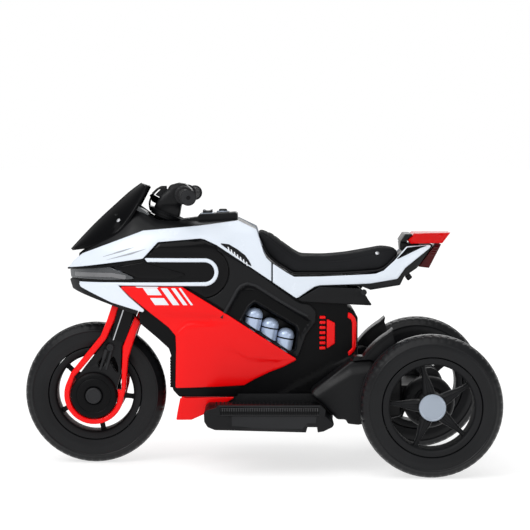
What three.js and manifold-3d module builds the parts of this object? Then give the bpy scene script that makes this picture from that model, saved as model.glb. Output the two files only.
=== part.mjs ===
// A child's battery-powered ride-on motorcycle with one steered front wheel and two driven rear wheels.
// Millimetres. +X points from the front wheel to the rear, +Y to the rider's right, +Z up.
// The origin lies on the ground under the middle of the object's box.
import * as THREE from "three";
import { mergeVertices } from "three/addons/utils/BufferGeometryUtils.js";
import Module from "manifold-3d";

const wasm = await Module();
wasm.setup();

// ---- Driving dimensions -------------------------------------------------------------------------

// Each wheel: its axle's station and radius, the tyre's half-width, the rim's outer and open radii,
// the hub's half-width and the angle of the first spoke.
const FRONT = { x: -354.25, r: 152.5, half: 34, rimR: 100, openR: 83, hubHalf: 40, firstSpoke: -7 };
const REAR = {
  x: 357.75, r: 149, half: 36, rimR: 103, openR: 88, hubHalf: 32, firstSpoke: 31, spokeY: 18,
  track: 205, // from the middle plane to the middle of a rear wheel
};
const WHEEL_FACETS = 32;
const SPOKES = 5;
const AXLE_R = 6;
const AXLE_PLAY = 0.5;

const RAKE = THREE.MathUtils.degToRad(22.2); // lean of the steering axis from the vertical
const STEM_R = 12;
const CROWN = { from: 214, to: 232, halfY: 62, halfU: 25 }; // heights along the steering axis
const RISER_BASE = 412; // height of the riser's underside along the steering axis

const WALL = 4; // thickness of the outer panels
const CORE_INSET = 9; // the inner shells lie this far inside the outer skin
const CORE_WALL = 3;
const SPLIT_Z = 382; // level at which the head frame stands on the body core
const GAP = 0.4;

// Half-width of the bodywork seen from above, as [station x, half-width].
const PLAN = [
  [-410, 16], [-406, 22], [-400, 32], [-390, 46], [-370, 66], [-340, 82], [-300, 94], [-260, 102],
  [-220, 107], [-180, 110], [-100, 112], [-20, 108], [60, 100], [120, 96], [200, 92], [240, 84],
  [300, 68], [380, 46], [420, 40],
];
// Height of the shoulder above which the bodywork turns inwards, as [station x, height].
const SHOULDER = [
  [-410, 436], [-371, 458], [-246, 507], [-125, 520], [-44, 530], [20, 520], [100, 480], [200, 460],
  [260, 455], [316, 473], [420, 479],
];
const SHOULDER_DEPTH = 70;
const SHOULDER_TUCK = 0.2;
const SHOULDER_LIP = 10; // the tuck stops growing this far above the shoulder
const BELLY_TOP = 400;
const BELLY_DEPTH = 300;
const BELLY_TUCK = 0.24;

// Every side surface is sampled on this one lattice, so layers at different depths stay parallel.
const STATIONS = [
  -410, -406, -400, -390, -370, -340, -300, -240, -180, -120, -60, 0, 60, 120, 180, 240, 300, 340,
  380, 420,
];
const LEVELS = [80, 120, 160, 210, 260, 310, 360, 400, 430, 460, 490, 515, 540];
const LATTICE_MARGIN = 0.5;
const FAR = 400; // clear of the whole object, sideways

// ---- Colours ------------------------------------------------------------------------------------

const white = new THREE.MeshStandardMaterial({ color: 0xe8f0fa, roughness: 0.25, metalness: 0 });
const red = new THREE.MeshStandardMaterial({ color: 0xe81418, roughness: 0.3, metalness: 0 });
const black = new THREE.MeshStandardMaterial({ color: 0x1c1d20, roughness: 0.55, metalness: 0 });
const gloss = new THREE.MeshStandardMaterial({ color: 0x0b0b0d, roughness: 0.15, metalness: 0 });
const rubber = new THREE.MeshStandardMaterial({ color: 0x17181a, roughness: 0.8, metalness: 0 });
const leather = new THREE.MeshStandardMaterial({ color: 0x1a1b1d, roughness: 0.6, metalness: 0 });
const silver = new THREE.MeshStandardMaterial({ color: 0xb9c4d2, roughness: 0.35, metalness: 0.5 });
const steel = new THREE.MeshStandardMaterial({ color: 0x9a9ea4, roughness: 0.35, metalness: 1 });
const smoke = new THREE.MeshStandardMaterial({ color: 0x101216, roughness: 0.1, metalness: 0 });
const lens = new THREE.MeshStandardMaterial({ color: 0x6a7078, roughness: 0.1, metalness: 0 });
const redLens = new THREE.MeshStandardMaterial({ color: 0xc4121c, roughness: 0.1, metalness: 0 });
const darkLens = new THREE.MeshStandardMaterial({ color: 0x5e0d14, roughness: 0.15, metalness: 0 });
const casing = new THREE.MeshStandardMaterial({ color: 0x2b2e33, roughness: 0.6, metalness: 0 });

// ---- Solids from three.js geometry --------------------------------------------------------------

// A closed geometry as a solid; a winding that faces inwards is turned round.
function solid(geometry) {
  const bare = geometry.clone();
  bare.deleteAttribute("normal");
  bare.deleteAttribute("uv");
  const merged = mergeVertices(bare, 1e-4);
  const corners = merged.index.array;
  const build = (triVerts) =>
    new wasm.Manifold(
      new wasm.Mesh({
        numProp: 3,
        vertProperties: new Float32Array(merged.attributes.position.array),
        triVerts,
      }),
    );
  const made = build(new Uint32Array(corners));
  if (made.volume() > 0) return made;
  const flipped = new Uint32Array(corners);
  for (let i = 0; i < flipped.length; i += 3) [flipped[i], flipped[i + 1]] = [flipped[i + 1], flipped[i]];
  return build(flipped);
}

function geometryOf(body) {
  const mesh = body.getMesh();
  const stride = mesh.numProp;
  const position = new Float32Array((mesh.vertProperties.length / stride) * 3);
  for (let i = 0; i < position.length / 3; i++)
    position.set(mesh.vertProperties.subarray(i * stride, i * stride + 3), i * 3);
  const geometry = new THREE.BufferGeometry();
  geometry.setAttribute("position", new THREE.BufferAttribute(position, 3));
  geometry.setIndex(new THREE.BufferAttribute(new Uint32Array(mesh.triVerts), 1));
  return geometry;
}

// The same solid on the other side of the plane Y = 0.
function mirrored(body) {
  return solid(geometryOf(body).scale(1, -1, 1));
}

function join(...bodies) {
  return bodies.reduce((all, next) => all.add(next));
}

function cut(body, ...tools) {
  return tools.reduce((rest, tool) => rest.subtract(tool), body);
}

function box([x0, x1], [y0, y1], [z0, z1]) {
  const geometry = new THREE.BoxGeometry(x1 - x0, y1 - y0, z1 - z0);
  return solid(geometry.translate((x0 + x1) / 2, (y0 + y1) / 2, (z0 + z1) / 2));
}

function rod(from, to, r, sides = 16) {
  const a = new THREE.Vector3(...from);
  const b = new THREE.Vector3(...to);
  const way = b.clone().sub(a);
  const geometry = new THREE.CylinderGeometry(r, r, way.length(), sides);
  const turn = new THREE.Quaternion().setFromUnitVectors(new THREE.Vector3(0, 1, 0), way.normalize());
  const middle = a.add(b).multiplyScalar(0.5);
  return solid(geometry.applyQuaternion(turn).translate(middle.x, middle.y, middle.z));
}

// A ring or disc round a line parallel to Y: the profile is a list of [radius, y].
function turned(profile, x, z, sides = WHEEL_FACETS) {
  const reach = 1 / Math.cos(Math.PI / sides); // the flats, not the corners, lie at the stated radius
  const points = profile.map(([r, y]) => new THREE.Vector2(r * reach, y));
  const closed = profile[0][0] > 0 ? [...points, points[0]] : points;
  const geometry = new THREE.LatheGeometry(closed, sides, Math.PI / sides);
  return solid(geometry.translate(x, 0, z));
}

function shapeOf(outline) {
  return new THREE.Shape(outline.map(([x, z]) => new THREE.Vector2(x, z)));
}

// An outline in the XZ plane carried from y0 to y1.
function plate(outline, y0, y1) {
  const geometry = new THREE.ExtrudeGeometry(shapeOf(outline), { depth: y1 - y0, bevelEnabled: false });
  return solid(geometry.rotateX(Math.PI / 2).translate(0, y1, 0));
}

function tube(points, r, steps, sides = 8) {
  const path = new THREE.CatmullRomCurve3(points.map((p) => new THREE.Vector3(...p)));
  const ring = new THREE.Shape();
  for (let i = 0; i < sides; i++) {
    const a = (2 * Math.PI * i) / sides;
    if (i) ring.lineTo(r * Math.cos(a), r * Math.sin(a));
    else ring.moveTo(r * Math.cos(a), r * Math.sin(a));
  }
  return solid(new THREE.ExtrudeGeometry(ring, { extrudePath: path, steps, bevelEnabled: false }));
}

// A solid skinned over rings of points that all have the same count. Each end is closed by a fan, or
// by a strip if the rings run out along one face and back along the other.
function loft(rings, stripEnds = false) {
  const count = rings[0].length;
  const last = (rings.length - 1) * count;
  const index = [];
  for (let i = 0; i < last; i += count)
    for (let j = 0; j < count; j++) {
      const a = i + j;
      const b = i + ((j + 1) % count);
      index.push(a, b, b + count, a, b + count, a + count);
    }
  const endSteps = stripEnds ? count / 2 : count;
  for (let j = 0; j + 1 < endSteps; j++) {
    const other = count - 1 - j;
    if (stripEnds) {
      index.push(j, other, j + 1, j + 1, other, other - 1);
      index.push(last + j, last + j + 1, last + other, last + j + 1, last + other - 1, last + other);
    } else if (j > 0) {
      index.push(0, j + 1, j);
      index.push(last, last + j, last + j + 1);
    }
  }
  const geometry = new THREE.BufferGeometry();
  geometry.setAttribute("position", new THREE.Float32BufferAttribute(rings.flat(2), 3));
  geometry.setIndex(index);
  return solid(geometry);
}

// ---- The bodywork's skin ------------------------------------------------------------------------

function along(table, x) {
  if (x <= table[0][0]) return table[0][1];
  for (let i = 1; i < table.length; i++) {
    const [x0, v0] = table[i - 1];
    const [x1, v1] = table[i];
    if (x <= x1) return THREE.MathUtils.mapLinear(x, x0, x1, v0, v1);
  }
  return table[table.length - 1][1];
}

function halfWidth(x, z) {
  const drop = Math.max(along(SHOULDER, x) - z, -SHOULDER_LIP);
  const shoulder = 1 - SHOULDER_TUCK * Math.max(0, 1 - drop / SHOULDER_DEPTH) ** 2;
  const depth = THREE.MathUtils.clamp((BELLY_TOP - z) / BELLY_DEPTH, 0, 1);
  return along(PLAN, x) * shoulder * (1 - BELLY_TUCK * depth ** 1.5);
}

// The part of the lattice that covers a stretch.
function covering(lines, low, high) {
  const first = lines.findLastIndex((v) => v <= low);
  const last = lines.findIndex((v) => v >= high);
  return lines.slice(first, last + 1);
}

// The space over an outline between two sideways surfaces, each a function of (x, z).
function between(outline, near, far) {
  const xs = outline.map((p) => p[0]);
  const zs = outline.map((p) => p[1]);
  const columns = covering(STATIONS, Math.min(...xs) - LATTICE_MARGIN, Math.max(...xs) + LATTICE_MARGIN);
  const rows = covering(LEVELS, Math.min(...zs) - LATTICE_MARGIN, Math.max(...zs) + LATTICE_MARGIN);
  const rings = columns.map((x) => [
    ...rows.map((z) => [x, near(x, z), z]),
    ...[...rows].reverse().map((z) => [x, far(x, z), z]),
  ]);
  return loft(rings, true).intersect(plate(outline, -FAR, FAR));
}

// A panel on the rider's right whose faces lie at the given depths under the skin.
function panel(outline, outer = 0, thickness = WALL) {
  return between(
    outline,
    (x, z) => halfWidth(x, z) - outer - thickness,
    (x, z) => halfWidth(x, z) - outer,
  );
}

// A block right across the bodywork, its sides the given depth under the skin.
function across(outline, inset) {
  return between(
    outline,
    (x, z) => inset - halfWidth(x, z),
    (x, z) => halfWidth(x, z) - inset,
  );
}

function arc([cx, cz], r, fromDeg, toDeg, steps) {
  return Array.from({ length: steps + 1 }, (_, i) => {
    const a = THREE.MathUtils.degToRad(fromDeg + ((toDeg - fromDeg) * i) / steps);
    return [cx + r * Math.cos(a), cz + r * Math.sin(a)];
  });
}

// ---- The steering axis --------------------------------------------------------------------------

// A point s along the steering axis, u to its rear and y to its right.
function onAxis(s, u = 0, y = 0) {
  return [
    FRONT.x + s * Math.sin(RAKE) + u * Math.cos(RAKE),
    y,
    FRONT.r + s * Math.cos(RAKE) - u * Math.sin(RAKE),
  ];
}

// A box square to the steering axis.
function axisBox([s0, s1], [u0, u1], halfY) {
  const corners = (s) => [
    onAxis(s, u0, -halfY),
    onAxis(s, u1, -halfY),
    onAxis(s, u1, halfY),
    onAxis(s, u0, halfY),
  ];
  return loft([corners(s0), corners(s1)]);
}

// ---- Outlines of the bodywork in the XZ plane ----------------------------------------------------

const DISH = [-120, 421]; // centre of the round dish behind the intake
const DISH_R = 56;
const BADGE_LINE = 390.5; // underside of the white band over the red panel

const UPPER_PANEL = [
  [-404, 431], [-390, 447], [-371, 458], [-246, 507], [-125, 518], [-44, 529], [-5, 510], [10, 462],
  [16, 450], [26.5, 440], [26.5, 400], [-13, 427], [-89, 477], [-115, 489], [-124, 491], [-214, 483],
  [-246, 448],
];
const SEAT_PANEL = [
  [29.5, 438], [59, 418.5], [75, 409.5], [130, 410], [238, 414], [250, 415], [266, 421], [290, 442],
  [316, 471.5], [376, 475.5], [313, 426], [296, 403], [237, 394], [129, 391], [118, 388], [80, 363],
  [29.5, 398],
];
const LOWER_WEDGE = [
  [-386, 392], [-301, 392], [-275, 366], [-243, 339], [-246, 334], [-314, 354], [-381, 385],
];
const BAND_END = [-115, 420];
const BAND_OUTER_R = 29.5;
const BAND_INNER_R = 21;
const BAND = [
  [-340, BADGE_LINE], ...arc(BAND_END, BAND_OUTER_R, -90, 90, 8), [-243, 449.5], [-237, 441],
  ...arc(BAND_END, BAND_INNER_R, 90, -90, 8), [-340, 399],
];
const INTAKE = [
  [-287, 392], [-287, 433], [-246, 442], [-212, 481], [-124, 489], [-114, 487], [-92, 476],
  ...arc(DISH, DISH_R, 55, -84, 9), [-163, 391.5],
];
const ENGINE_COVER = [
  ...arc(DISH, DISH_R + 1.6, -82, 56, 9), [-12, 425], [78, 358.5], [90, 353], [107, 350.5],
  [121, 336], [121, 312], [101, 284], [84, 236],
];
const POCKET = [[-7, 355], [79, 302], [79, 284], [59, 249], [-35, 314], [-19, 345]];
const POCKET_RIM = [[-5, 361], [85, 306], [85, 282], [61, 241], [-43, 312], [-24, 350]];
const RED_PANEL = [
  [-297, 389], [-163, 389], [-61, 326], [80, 232], [52, 218], [23, 211], [-9, 196], [-35, 182],
  [-54, 179], [-178, 174], [-176, 258], [-177, 284], [-192, 302], [-272, 366],
];
const BELLY_WEDGE = [[-164, 152], [-50, 154], [-99, 123], [-142, 105], [-176, 104], [-173, 121]];
const LENS_BAND = [[-404, 404], [-404, 424], [-320, 429], [-290, 431], [-290, 401], [-320, 401]];
const CHIN = [
  [-402, 400], [-402, 381], [-317, 348], [-281, 335], [-258, 328], [-258, 345], [-312, 367], [-377, 390],
  [-380, 400],
];
const HEAD_FRAME = [
  [-398, 402], [-398, 426], [-388, 434], [-371, 443], [-246, 487], [-125, 500], [-44, 509], [-9, 490],
  [-9, SPLIT_Z + GAP], [-256, SPLIT_Z + GAP], [-385, 388],
];
const HEAD_HOLLOW = [
  [-392, 404], [-392, 420], [-370, 436], [-246, 481], [-125, 494], [-44, 503], [-5, 486],
  [-5, SPLIT_Z + 4], [-256, SPLIT_Z + 4], [-380, 394],
];
const CORE = [
  [-166, 156], [-180, 166], [-186, 175], [-186, 237], [-192, 256], [-217, 279], [-254, 310],
  [-256, SPLIT_Z], [-7, SPLIT_Z], [-7, 458], [8, 458], [27, 434], [58, 413], [75, 406], [189, 406],
  [189, 341], [203, 334], [211, 321], [211, 156],
];
const CAVITY = [
  [-160, 164], [-178, 180], [-178, 230], [-180, 262], [-180, 330], [-180, 370], [10, 370],
  [66, 396], [66, 420], [181, 420], [181, 336], [198, 329],
  [203, 318], [203, 164],
];
const SEAT = [
  [-3, 507], [2, 509], [16, 503], [44, 482], [76, 459], [92, 450], [131, 450], [180, 453],
  [237, 463], [280, 471], [298, 466], [301, 460], [291, 445], [267, 424], [250, 418.5], [130, 413],
  [76, 412], [60, 421], [30, 440], [12, 462],
];
const WING = [[82, 361], [129, 388], [215, 384], [228, 367], [242, 347], [91, 356]];
const TAIL_CORE = [
  [192, 389], [214, 389], [238, 380], [302, 389], [311, 407], [322, 414], [339, 425], [376, 475],
  [345, 473],
  [318, 469], [294, 444], [269, 421], [250, 415], [214, 408], [192, 408],
];
const SPOILER_NECK = [[304, 460], [301, 480], [317, 480], [322, 476], [345, 476], [345, 468]];
const SPOILER_BLOCK = [[300.5, 479.5], [313, 500], [331, 499], [316, 485], [318, 479.5]];
const TAIL_LIGHT = [[334, 499.5], [411, 500], [394, 477.5], [326, 476.8], [319, 485]];
const REFLECTOR = [[343, 427], [366, 424], [392, 475.8], [380, 475.5]];
const SCREEN_RIBS = [
  // [ridge x, ridge z, edge x, edge z, edge half-width] from the nose to the rear tip
  [-406, 462, -400, 464, 12],
  [-383, 489, -374, 471, 36],
  [-352, 521, -347, 486, 50],
  [-310, 560, -301, 505, 64],
  [-276, 590, -260, 559, 60],
  [-254, 606, -238, 598, 38],
];
const FORK_PLATE = [
  [-300, 360.5], [-299, 345], [-309, 312], [-326, 273], [-372, 215.5], [-391, 190],
  ...arc([FRONT.x, FRONT.r], 50.5, 160, 375, 12), [-296, 200], [-293.5, 256], [-278.5, 294],
  [-266.5, 322], [-262, 345],
];
const FORK_WINDOW = [[-352, 217], [-330, 222], [-318, 212], [-336, 208]];
const TRIM_OUTER = [
  [-314, 348], [-326, 313], [-339, 281], [-383, 227], [-403, 202],
  ...arc([FRONT.x, FRONT.r + 1], 64, 158, 354, 12), [-286, 165], [-280, 232], [-263, 286],
  [-253, 311],
];
const TRIM_INNER = [
  [-265, 323], [-277, 294], [-292, 256], [-294.5, 200], [-295, 163],
  ...arc([FRONT.x, FRONT.r], 51.5, 374, 159, 12), [-396, 192], [-374, 216.5], [-327, 274],
  [-310, 313], [-300, 345],
];
const RISER = [
  [-227, 540], [-223, 529], [-206, 520], [-177, 515], [-171, 537], [-167, 561], [-150, 566],
  [-143, 580], [-145, 593], [-159, 605], [-174, 607], [-192, 602], [-197, 593], [-212, 580],
  [-225, 558],
];
const CONSOLE = [
  [-174, 520], [-172, 528], [-133, 533], [-127, 542], [-96, 545], [-73, 548], [-52, 548],
  [-45, 543], [-44, 520],
];
const FOOTBOARD = [
  [-114, 134], [-113, 116], [-106, 105], [-91, 99], [98, 94], [101, 105], [122, 105], [122, 94],
  [134, 96], [153, 105], [157, 113], [124, 141], [-107, 141],
];
const FOOTBOARD_HOLLOW = [
  [-106, 120], [-100, 110], [-88, 90], [120, 90], [144, 106], [121, 134], [-103, 134],
];
const POD = [
  [109, 165], [115, 174], [193, 235], [234, 239], [300, 214], [300, 120], [209, 101], [187, 103],
  [183, 112], [165, 112], [131, 146],
];

// ---- Named nodes --------------------------------------------------------------------------------

const object = new THREE.Group();

function node(name, body, material) {
  const mesh = new THREE.Mesh(geometryOf(body), material);
  mesh.name = name;
  object.add(mesh);
}

// One copy on the rider's right and its mirror image on the left.
function pair(name, body, material) {
  node(`${name}_right`, body, material);
  node(`${name}_left`, mirrored(body), material);
}

function moved(body, x, y, z) {
  return solid(geometryOf(body).translate(x, y, z));
}

// ---- Wheels -------------------------------------------------------------------------------------

// A hollow carcass that is open towards the rim.
function tyre({ x, r, half, rimR }) {
  const wall = 6;
  const crown = 18;
  const round = 14;
  const tread = half * 0.5;
  const bead = half * 0.8;
  const profile = [
    [rimR, -bead], [rimR + round, -half], [r - round, -half], [r, -tread], [r, tread],
    [r - round, half], [rimR + round, half], [rimR, bead], [rimR, bead - wall],
    [r - crown, half - wall], [r - crown, wall - half], [rimR, wall - bead],
  ];
  return turned(profile, x, r);
}

// A hub and an outer ring joined by tapered spokes.
function rim({ x, r, half, rimR, openR }, hubHalf, spokeY, firstDeg) {
  const hubR = 29;
  const spoke = { from: 20, root: 13, into: 4, tip: 6, halfY: 8 };
  const seat = rimR - GAP;
  const ring = turned(
    [[openR, -half * 0.75], [seat, -half * 0.9], [seat, half * 0.9], [openR, half * 0.75]], x, r,
  );
  const hub = rod([x, -hubHalf, r], [x, hubHalf, r], hubR, 20);
  const spokes = Array.from({ length: SPOKES }, (_, i) => {
    const turn = THREE.MathUtils.degToRad(firstDeg + (360 / SPOKES) * i);
    const place = (along, side) => [
      x + along * Math.cos(turn) - side * Math.sin(turn),
      r + along * Math.sin(turn) + side * Math.cos(turn),
    ];
    const end = openR + spoke.into;
    const outline = [
      place(spoke.from, -spoke.root), place(end, -spoke.tip), place(end, spoke.tip),
      place(spoke.from, spoke.root),
    ];
    return plate(outline, spokeY - spoke.halfY, spokeY + spoke.halfY);
  });
  const bore = rod([x, -hubHalf - 1, r], [x, hubHalf + 1, r], AXLE_R + AXLE_PLAY);
  return cut(join(ring, hub, ...spokes), bore);
}

node("front_tyre", tyre(FRONT), rubber);
node("front_rim", rim(FRONT, FRONT.hubHalf, 0, FRONT.firstSpoke), casing);

const rearTyre = moved(tyre(REAR), 0, REAR.track, 0);
const rearRim = moved(rim(REAR, REAR.hubHalf, REAR.spokeY, REAR.firstSpoke), 0, REAR.track, 0);
const capFace = REAR.track + REAR.hubHalf + GAP;
const CAP = [[0, capFace], [28, capFace], [28, capFace + 1.5], [22, capFace + 3.5], [0, capFace + 4]];
const hubCap = turned(CAP, REAR.x, REAR.r, 20);
pair("rear_tyre", rearTyre, rubber);
pair("rear_rim", rearRim, casing);
pair("hub_cap", hubCap, silver);

// ---- Front fork and steering --------------------------------------------------------------------

const FORK_Y = [46, 60];
const FORK_TRIM_Y = [50, 66];
const HUB_COVER = { r: 50, y: 72 };
const AXLE_HEAD = { r: 17, y: 78 };
const frontBore = rod([FRONT.x, 0, FRONT.r], [FRONT.x, 90, FRONT.r], AXLE_R + AXLE_PLAY);
const hubCover = rod([FRONT.x, FORK_Y[0], FRONT.r], [FRONT.x, HUB_COVER.y, FRONT.r], HUB_COVER.r, 24);
const forkPlate = cut(
  join(plate(FORK_PLATE, ...FORK_Y), hubCover),
  frontBore,
  plate(FORK_WINDOW, FORK_Y[0] - 6, FORK_Y[1] + 10),
);
pair("fork", forkPlate, black);
pair("fork_trim", plate([...TRIM_OUTER, ...TRIM_INNER], ...FORK_TRIM_Y), red);

const axleHead = (y0, y1) => rod([FRONT.x, y0, FRONT.r], [FRONT.x, y1, FRONT.r], AXLE_HEAD.r, 20);
node(
  "front_axle",
  join(
    rod([FRONT.x, -76, FRONT.r], [FRONT.x, 76, FRONT.r], AXLE_R),
    axleHead(HUB_COVER.y + GAP, AXLE_HEAD.y),
    axleHead(-AXLE_HEAD.y, -HUB_COVER.y - GAP),
  ),
  casing,
);

const stem = rod(onAxis(CROWN.from + 4), onAxis(RISER_BASE + 22), STEM_R);
const crown = axisBox([CROWN.from, CROWN.to], [-CROWN.halfU, CROWN.halfU], CROWN.halfY);
node("steering_stem", join(crown, stem), steel);

// ---- Handlebar ----------------------------------------------------------------------------------

const BAR = { x: -162, z: 582, r: 9 };
const COLLAR = { r: 15.5, half: 50 };
const RISER_HALF = 30;
const GRIP = { r: 14, flangeR: 19, endR: 16.5, wall: 4 };
const barHalf = [[BAR.x, 45, BAR.z], [-160.5, 72, 582], [-154, 130, 581.2], [-146.5, 188, 580]];
const barPoints = [...[...barHalf].reverse().map(([x, y, z]) => [x, -y, z]), ...barHalf];
node("handlebar_tube", tube(barPoints, BAR.r, 18, 8), steel);

const collar = rod([BAR.x, -COLLAR.half, BAR.z], [BAR.x, COLLAR.half, BAR.z], COLLAR.r, 16);
const riserBlock = plate(RISER, -RISER_HALF, RISER_HALF);
const riserUnderside = axisBox([RISER_BASE - 60, RISER_BASE], [-90, 90], 60);
const stemBore = rod(onAxis(RISER_BASE - 1), onAxis(RISER_BASE + 24), STEM_R + GAP);
const barBore = rod([BAR.x, -60, BAR.z], [BAR.x, 60, BAR.z], BAR.r + 2, 16);
node("handlebar_riser", cut(join(riserBlock, collar), riserUnderside, stemBore, barBore), black);

const gripFrom = new THREE.Vector3(-158, 96, 581.7);
const gripTo = new THREE.Vector3(-145.5, 195, 579.9);
const gripWay = gripTo.clone().sub(gripFrom).normalize();
const gripPoint = (t) => gripFrom.clone().addScaledVector(gripWay, t).toArray();
const gripLength = gripTo.distanceTo(gripFrom);
const grip = cut(
  join(
    rod(gripPoint(0), gripPoint(gripLength), GRIP.r, 12),
    rod(gripPoint(-4), gripPoint(0.5), GRIP.flangeR, 12),
    rod(gripPoint(gripLength - 6), gripPoint(gripLength), GRIP.endR, 12),
  ),
  rod(gripPoint(-6), gripPoint(gripLength - GRIP.wall), BAR.r + 2.2, 10),
);
pair("grip", grip, rubber);

const cableRoute = [
  [-199.5, 0, 598], [-209, 0, 598], [-222, 0, 590], [-232, 0, 577], [-237, 0, 562], [-235.5, 0, 550],
  [-229.5, 0, 545],
];
const CABLE_R = 2.2;
node("bar_cable", tube(cableRoute, CABLE_R, 16, 6), rubber);

// ---- Bodywork -----------------------------------------------------------------------------------

const WELL_R = 78; // room for the fork's crown to turn
const HEAD_TUBE_R = 22;
const wheelWell = rod(onAxis(60), onAxis(CROWN.to + 12), WELL_R, 16);
const stemPassage = rod(onAxis(CROWN.to), onAxis(RISER_BASE + 60), STEM_R + 1.5, 12);

const chin = panel(CHIN, WALL + 0.6, 6);
const headShell = cut(across(HEAD_FRAME, CORE_INSET), across(HEAD_HOLLOW, CORE_INSET + CORE_WALL));
const headTube = rod(onAxis(CROWN.to + 27), onAxis(RISER_BASE - 34), HEAD_TUBE_R, 12);
const chinBrace = across([[-398, 389], [-384, 389], [-384, 400], [-398, 401.5]], 8);
const headBody = join(headShell, headTube, chin, mirrored(chin), chinBrace);
node("head_frame", cut(headBody, wheelWell, stemPassage), black);

const POCKET_DEPTH = 46;
const pocketFloor = (x, z) => halfWidth(x, z) - POCKET_DEPTH;
const pocketTub = between(
  POCKET_RIM,
  (x, z) => pocketFloor(x, z) - WALL,
  (x, z) => halfWidth(x, z) - CORE_INSET - 2,
);
const pocketSpace = between(POCKET, pocketFloor, (x, z) => halfWidth(x, z) + 5);
const coreCavity = cut(across(CAVITY, CORE_INSET + CORE_WALL), pocketTub, mirrored(pocketTub));
const PAN = { x: [-66, 158], half: 83, z: [98, 158] };
const bellyPan = box(PAN.x, [-PAN.half, PAN.half], PAN.z);
const panHollow = box(
  [PAN.x[0] + 5, PAN.x[1] - 5],
  [WALL - PAN.half, PAN.half - WALL],
  [PAN.z[0] - 8, PAN.z[1] - WALL],
);
node(
  "body_core",
  cut(
    join(cut(across(CORE, CORE_INSET), coreCavity), cut(bellyPan, panHollow)),
    wheelWell,
    stemPassage,
    pocketSpace,
    mirrored(pocketSpace),
  ),
  black,
);

pair("upper_panel", panel(UPPER_PANEL), white);
pair("seat_panel", panel(SEAT_PANEL), white);
pair("lower_panel", join(panel(LOWER_WEDGE), panel(BAND)), white);
pair("intake", panel(INTAKE, WALL + 0.5, 3), gloss);
pair("engine_cover", cut(panel(ENGINE_COVER, 3), pocketSpace), black);
pair("red_fairing", panel(RED_PANEL), red);

const lensOuter = across(LENS_BAND, 0);
const lensInner = across([[-400, 390], [-400, 440], [-270, 440], [-270, 390]], WALL);
node("headlight_lens", cut(lensOuter, lensInner), lens);

const guardSide = panel(BELLY_WEDGE, 0, 5);
const GUARD_FRONT = [[-176, 104], [-173, 121], [-164, 152], [-158, 152], [-168, 121], [-170, 104]];
const guardFront = across(GUARD_FRONT, 1);
node("belly_guard", join(guardSide, mirrored(guardSide), guardFront), red);

// ---- Dummy engine cylinders ---------------------------------------------------------------------

const CYLINDER = {
  r: 15, lean: 27.4, first: [-11, 316], pitch: [32.8, -21], below: 12, above: 12,
  off: 17, // from the pocket's floor to a barrel's middle
};
const lean = THREE.MathUtils.degToRad(CYLINDER.lean);
const barrels = [0, 1, 2].map((i) => {
  const x = CYLINDER.first[0] + i * CYLINDER.pitch[0];
  const z = CYLINDER.first[1] + i * CYLINDER.pitch[1];
  const y = halfWidth(x, z) - POCKET_DEPTH + CYLINDER.off;
  const at = (t) => [x + t * Math.sin(lean), y, z + t * Math.cos(lean)];
  const dome = new THREE.SphereGeometry(CYLINDER.r, 8, 4).translate(...at(CYLINDER.above));
  return join(rod(at(-CYLINDER.below), at(CYLINDER.above), CYLINDER.r, 10), solid(dome));
});
const bankPlate = between(
  [[-9, 351], [75, 300], [75, 285], [58, 253], [-31, 315], [-17, 343]],
  (x, z) => pocketFloor(x, z) + GAP,
  (x, z) => pocketFloor(x, z) + 4,
);
pair("cylinder_bank", join(bankPlate, ...barrels), silver);

// ---- Red side trim ------------------------------------------------------------------------------

const TRIM_SKIN = CORE_INSET - GAP;
const trimBack = panel([[128, 252], [128, 326], [163, 326], [163, 252]], TRIM_SKIN - 2, 2);
const trimFace = panel([[144, 319], [162, 310], [162, 266], [144, 254]], TRIM_SKIN - 5, 4);
const slats = Array.from({ length: 7 }, (_, i) => {
  const z = 256 + i * 11;
  return panel([[129, z - 2.8], [129, z + 2.8], [142, z + 2.8], [142, z - 2.8]], TRIM_SKIN - 4, 3);
});
pair("side_trim", join(trimBack, trimFace, ...slats), red);

// ---- Top cowl, dash and its controls ------------------------------------------------------------

// [station x, crown height at the middle, edge height]
const COWL = [
  [-388, 452, 444], [-370, 465, 453], [-340, 492, 466], [-300, 526, 481], [-264, 554, 494],
  [-230, 538, 500], [-215, 530, 502], [-175, 527, 506], [-120, 527, 511], [-50, 529, 520],
  [-8, 508, 501],
];
const COWL_SKIRT = 8;
function cowlRings(inset, below) {
  return COWL.map(([station, top, edge]) => {
    const w = Math.min(halfWidth(station, edge), halfWidth(station, edge - 8)) - WALL - 3 - inset;
    const x = THREE.MathUtils.clamp(station, COWL[0][0] + inset, COWL[COWL.length - 1][0] - inset);
    const crest = top - inset;
    const rim = edge - inset;
    const flank = (crest * 3 + rim) / 4;
    return [
      [x, -w, edge - below], [x, w, edge - below], [x, w, rim], [x, w * 0.62, flank],
      [x, w * 0.3, crest], [x, -w * 0.3, crest], [x, -w * 0.62, flank], [x, -w, rim],
    ];
  });
}
const RISER_SEAT_R = 44;
const riserSeat = rod(onAxis(RISER_BASE - 2), onAxis(RISER_BASE + 60), RISER_SEAT_R, 16);
const riserPad = rod(onAxis(RISER_BASE - 12), onAxis(RISER_BASE + 60), RISER_SEAT_R + 7, 16);
const POST = { x: -303, y: 35, z: [480, 524], r: 5 }; // a post that holds the windscreen
const screenPost = (y) => rod([POST.x, y, POST.z[0]], [POST.x, y, POST.z[1]], POST.r, 12);
const cowlShell = cut(
  loft(cowlRings(0, COWL_SKIRT)),
  cut(loft(cowlRings(WALL, COWL_SKIRT + 4)), riserPad),
);
const CONSOLE_HALF = 38;
const consoleBlock = plate(CONSOLE, -CONSOLE_HALF, CONSOLE_HALF);

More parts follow.
